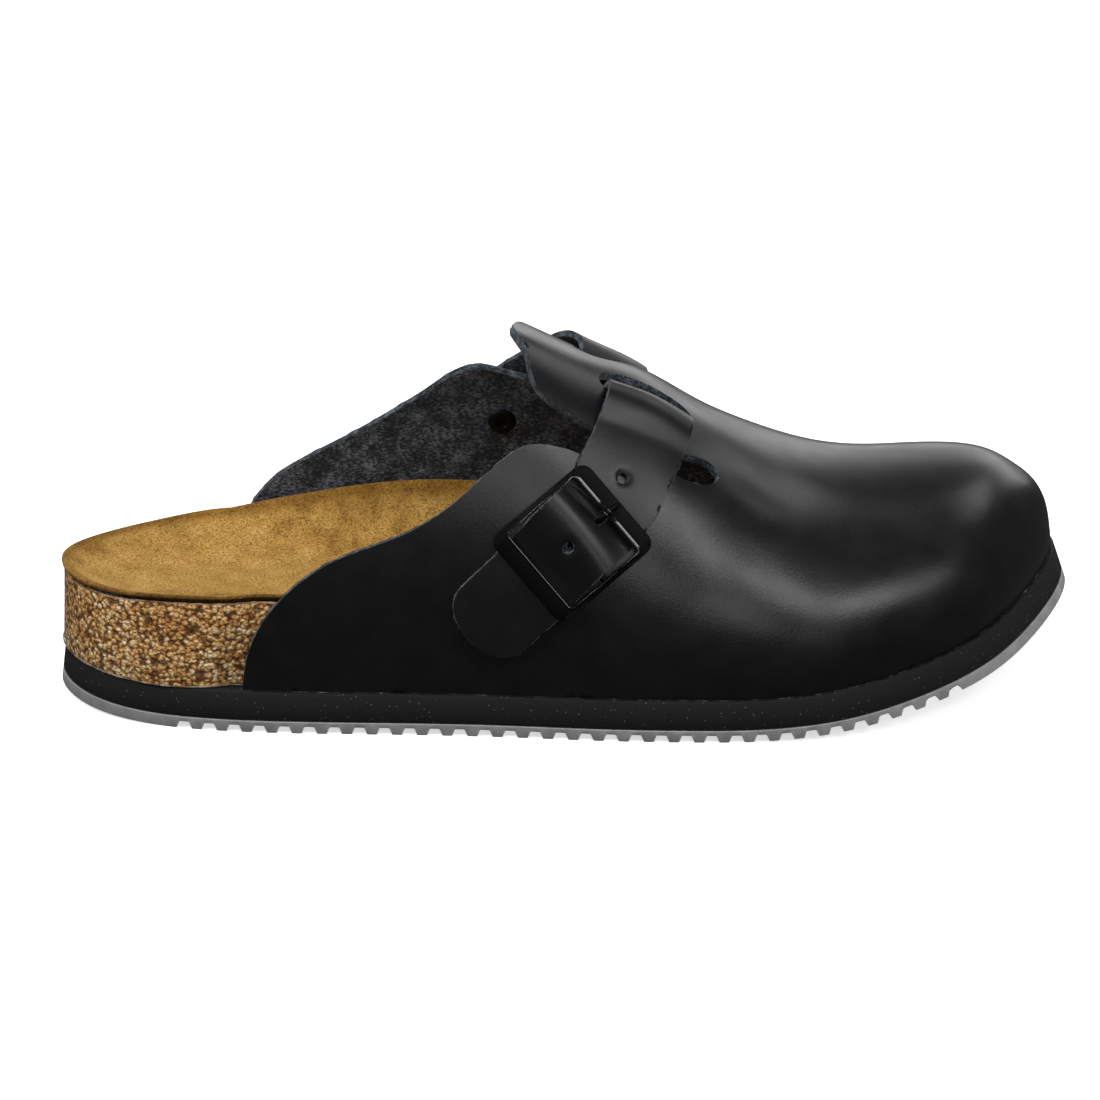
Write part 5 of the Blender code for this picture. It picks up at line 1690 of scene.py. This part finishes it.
# Soft boxes: name, place, aim, width, height, power in watts, and whether it may shine in the
# leather. The two that may not are crossed by polarisers, so they light the shoe and leave no
# highlight
SOFT_BOXES = (
    ("overhead", (-0.25, -0.20, 1.45), (0.05, 0.0, 0.0), 1.8, 1.3, 19.0, False),
    ("front_right", (0.82, -0.94, 1.07), (0.10, 0.0, 0.03), 1.05, 0.36, 6.4, True),
    ("front", (0.15, -1.30, 0.58), (0.08, 0.0, 0.05), 0.45, 0.5, 1.7, True),
    ("left", (-1.04, -0.63, 1.02), (0.05, 0.0, 0.04), 0.7, 0.7, 12.0, True),
    ("back", (0.42, 1.52, 0.42), (0.10, 0.0, 0.05), 1.8, 0.4, 5.0, True),
    ("back_high", (0.95, 0.68, 1.05), (0.15, 0.0, 0.05), 0.6, 0.5, 1.7, True),
    ("right", (1.50, -0.50, 0.50), (0.15, 0.0, 0.03), 0.6, 0.5, 10.0, False),
)


def direction_angles(start, aim):
    """Rotation that points an object's -Z from start to aim, with its Y up."""
    return (Vector(aim) - Vector(start)).to_track_quat("-Z", "Y").to_euler()


class MakeStage(bpy.types.Operator):
    """Pale floor, soft boxes and the camera at the photograph's angle"""
    bl_idname = "clog.make_stage"
    bl_label = "Stage"

    def execute(self, context):
        scene = context.scene
        settings = scene.clog_stage
        mesh = bpy.data.meshes.new("floor")
        corner = FLOOR_HALF
        mesh.from_pydata([(-corner, -corner, 0), (corner, -corner, 0), (corner, corner, 0),
                          (-corner, corner, 0)], [], [(0, 1, 2, 3)])
        pale, *_ = new_material("pale studio floor", {
            "Base Color": linear("#f4f4f4"), "Roughness": 1.0, "Specular IOR Level": 0.0,
            "Emission Color": linear("#ffffff"), "Emission Strength": 0.62})
        mesh.materials.append(pale)
        floor = bpy.data.objects.new("floor", mesh)
        scene.collection.objects.link(floor)
        # Black card under the shoe, to its reflections: only the camera sees the floor
        floor.visible_glossy = False
        floor.visible_diffuse = False
        world = bpy.data.worlds.new("studio air")
        world.use_nodes = True
        air = world.node_tree.nodes["Background"].inputs
        air["Color"].default_value = (1, 1, 1, 1)
        air["Strength"].default_value = AIR_LIGHT * settings.light
        scene.world = world
        for name, place, aim, width, height, power, shines in SOFT_BOXES:
            lamp = bpy.data.lights.new(name, "AREA")
            lamp.shape = "RECTANGLE"
            lamp.size = width
            lamp.size_y = height
            lamp.energy = power * settings.light
            box = bpy.data.objects.new(name, lamp)
            box.location = place
            box.rotation_euler = direction_angles(place, aim)
            box.visible_glossy = shines
            scene.collection.objects.link(box)
        lens = bpy.data.cameras.new("camera")
        lens.lens = CAMERA_LENS
        lens.sensor_width = CAMERA_SENSOR
        lens.clip_end = 50
        a, e = settings.azimuth, settings.elevation
        back = Vector((math.sin(a) * math.cos(e), -math.cos(a) * math.cos(e), math.sin(e)))
        camera = bpy.data.objects.new("camera", lens)
        camera.location = Vector(CAMERA_TARGET) + back * settings.distance
        camera.rotation_euler = (-back).to_track_quat("-Z", "Y").to_euler()
        scene.collection.objects.link(camera)
        scene.camera = camera
        scene.view_settings.view_transform = "Standard"
        return {"FINISHED"}


STEPS = (MakeOutsole, MakeMidsole, MakeFootbed, MakeUpper, MakeStrap, MakeBuckle, MakeRivet,
         MakeStage)


class ClogPanel(bpy.types.Panel):
    """Lists the clog's settings and steps"""
    bl_idname = "VIEW3D_PT_clog"
    bl_label = "Clog"
    bl_space_type = "VIEW_3D"
    bl_region_type = "UI"
    bl_category = "Clog"

    def draw(self, context):
        for key, group in GROUPS.items():
            box = self.layout.box()
            for name in group.__annotations__:
                box.prop(getattr(context.scene, key), name)
        for step in STEPS:
            self.layout.operator(step.bl_idname)


def register():
    """Adds the classes, and the settings to the scene."""
    for item in (*GROUPS.values(), *STEPS, ClogPanel):
        bpy.utils.register_class(item)
    for key, group in GROUPS.items():
        setattr(bpy.types.Scene, key, bpy.props.PointerProperty(type=group))


def unregister():
    """Takes the settings off the scene, and the classes away."""
    for key in GROUPS:
        delattr(bpy.types.Scene, key)
    for item in reversed((*GROUPS.values(), *STEPS, ClogPanel)):
        bpy.utils.unregister_class(item)


def main():
    """Makes every piece and the stage in order."""
    register()
    for step in STEPS:
        area, name = step.bl_idname.split(".")
        getattr(getattr(bpy.ops, area), name)()


if __name__ == "__main__":
    main()
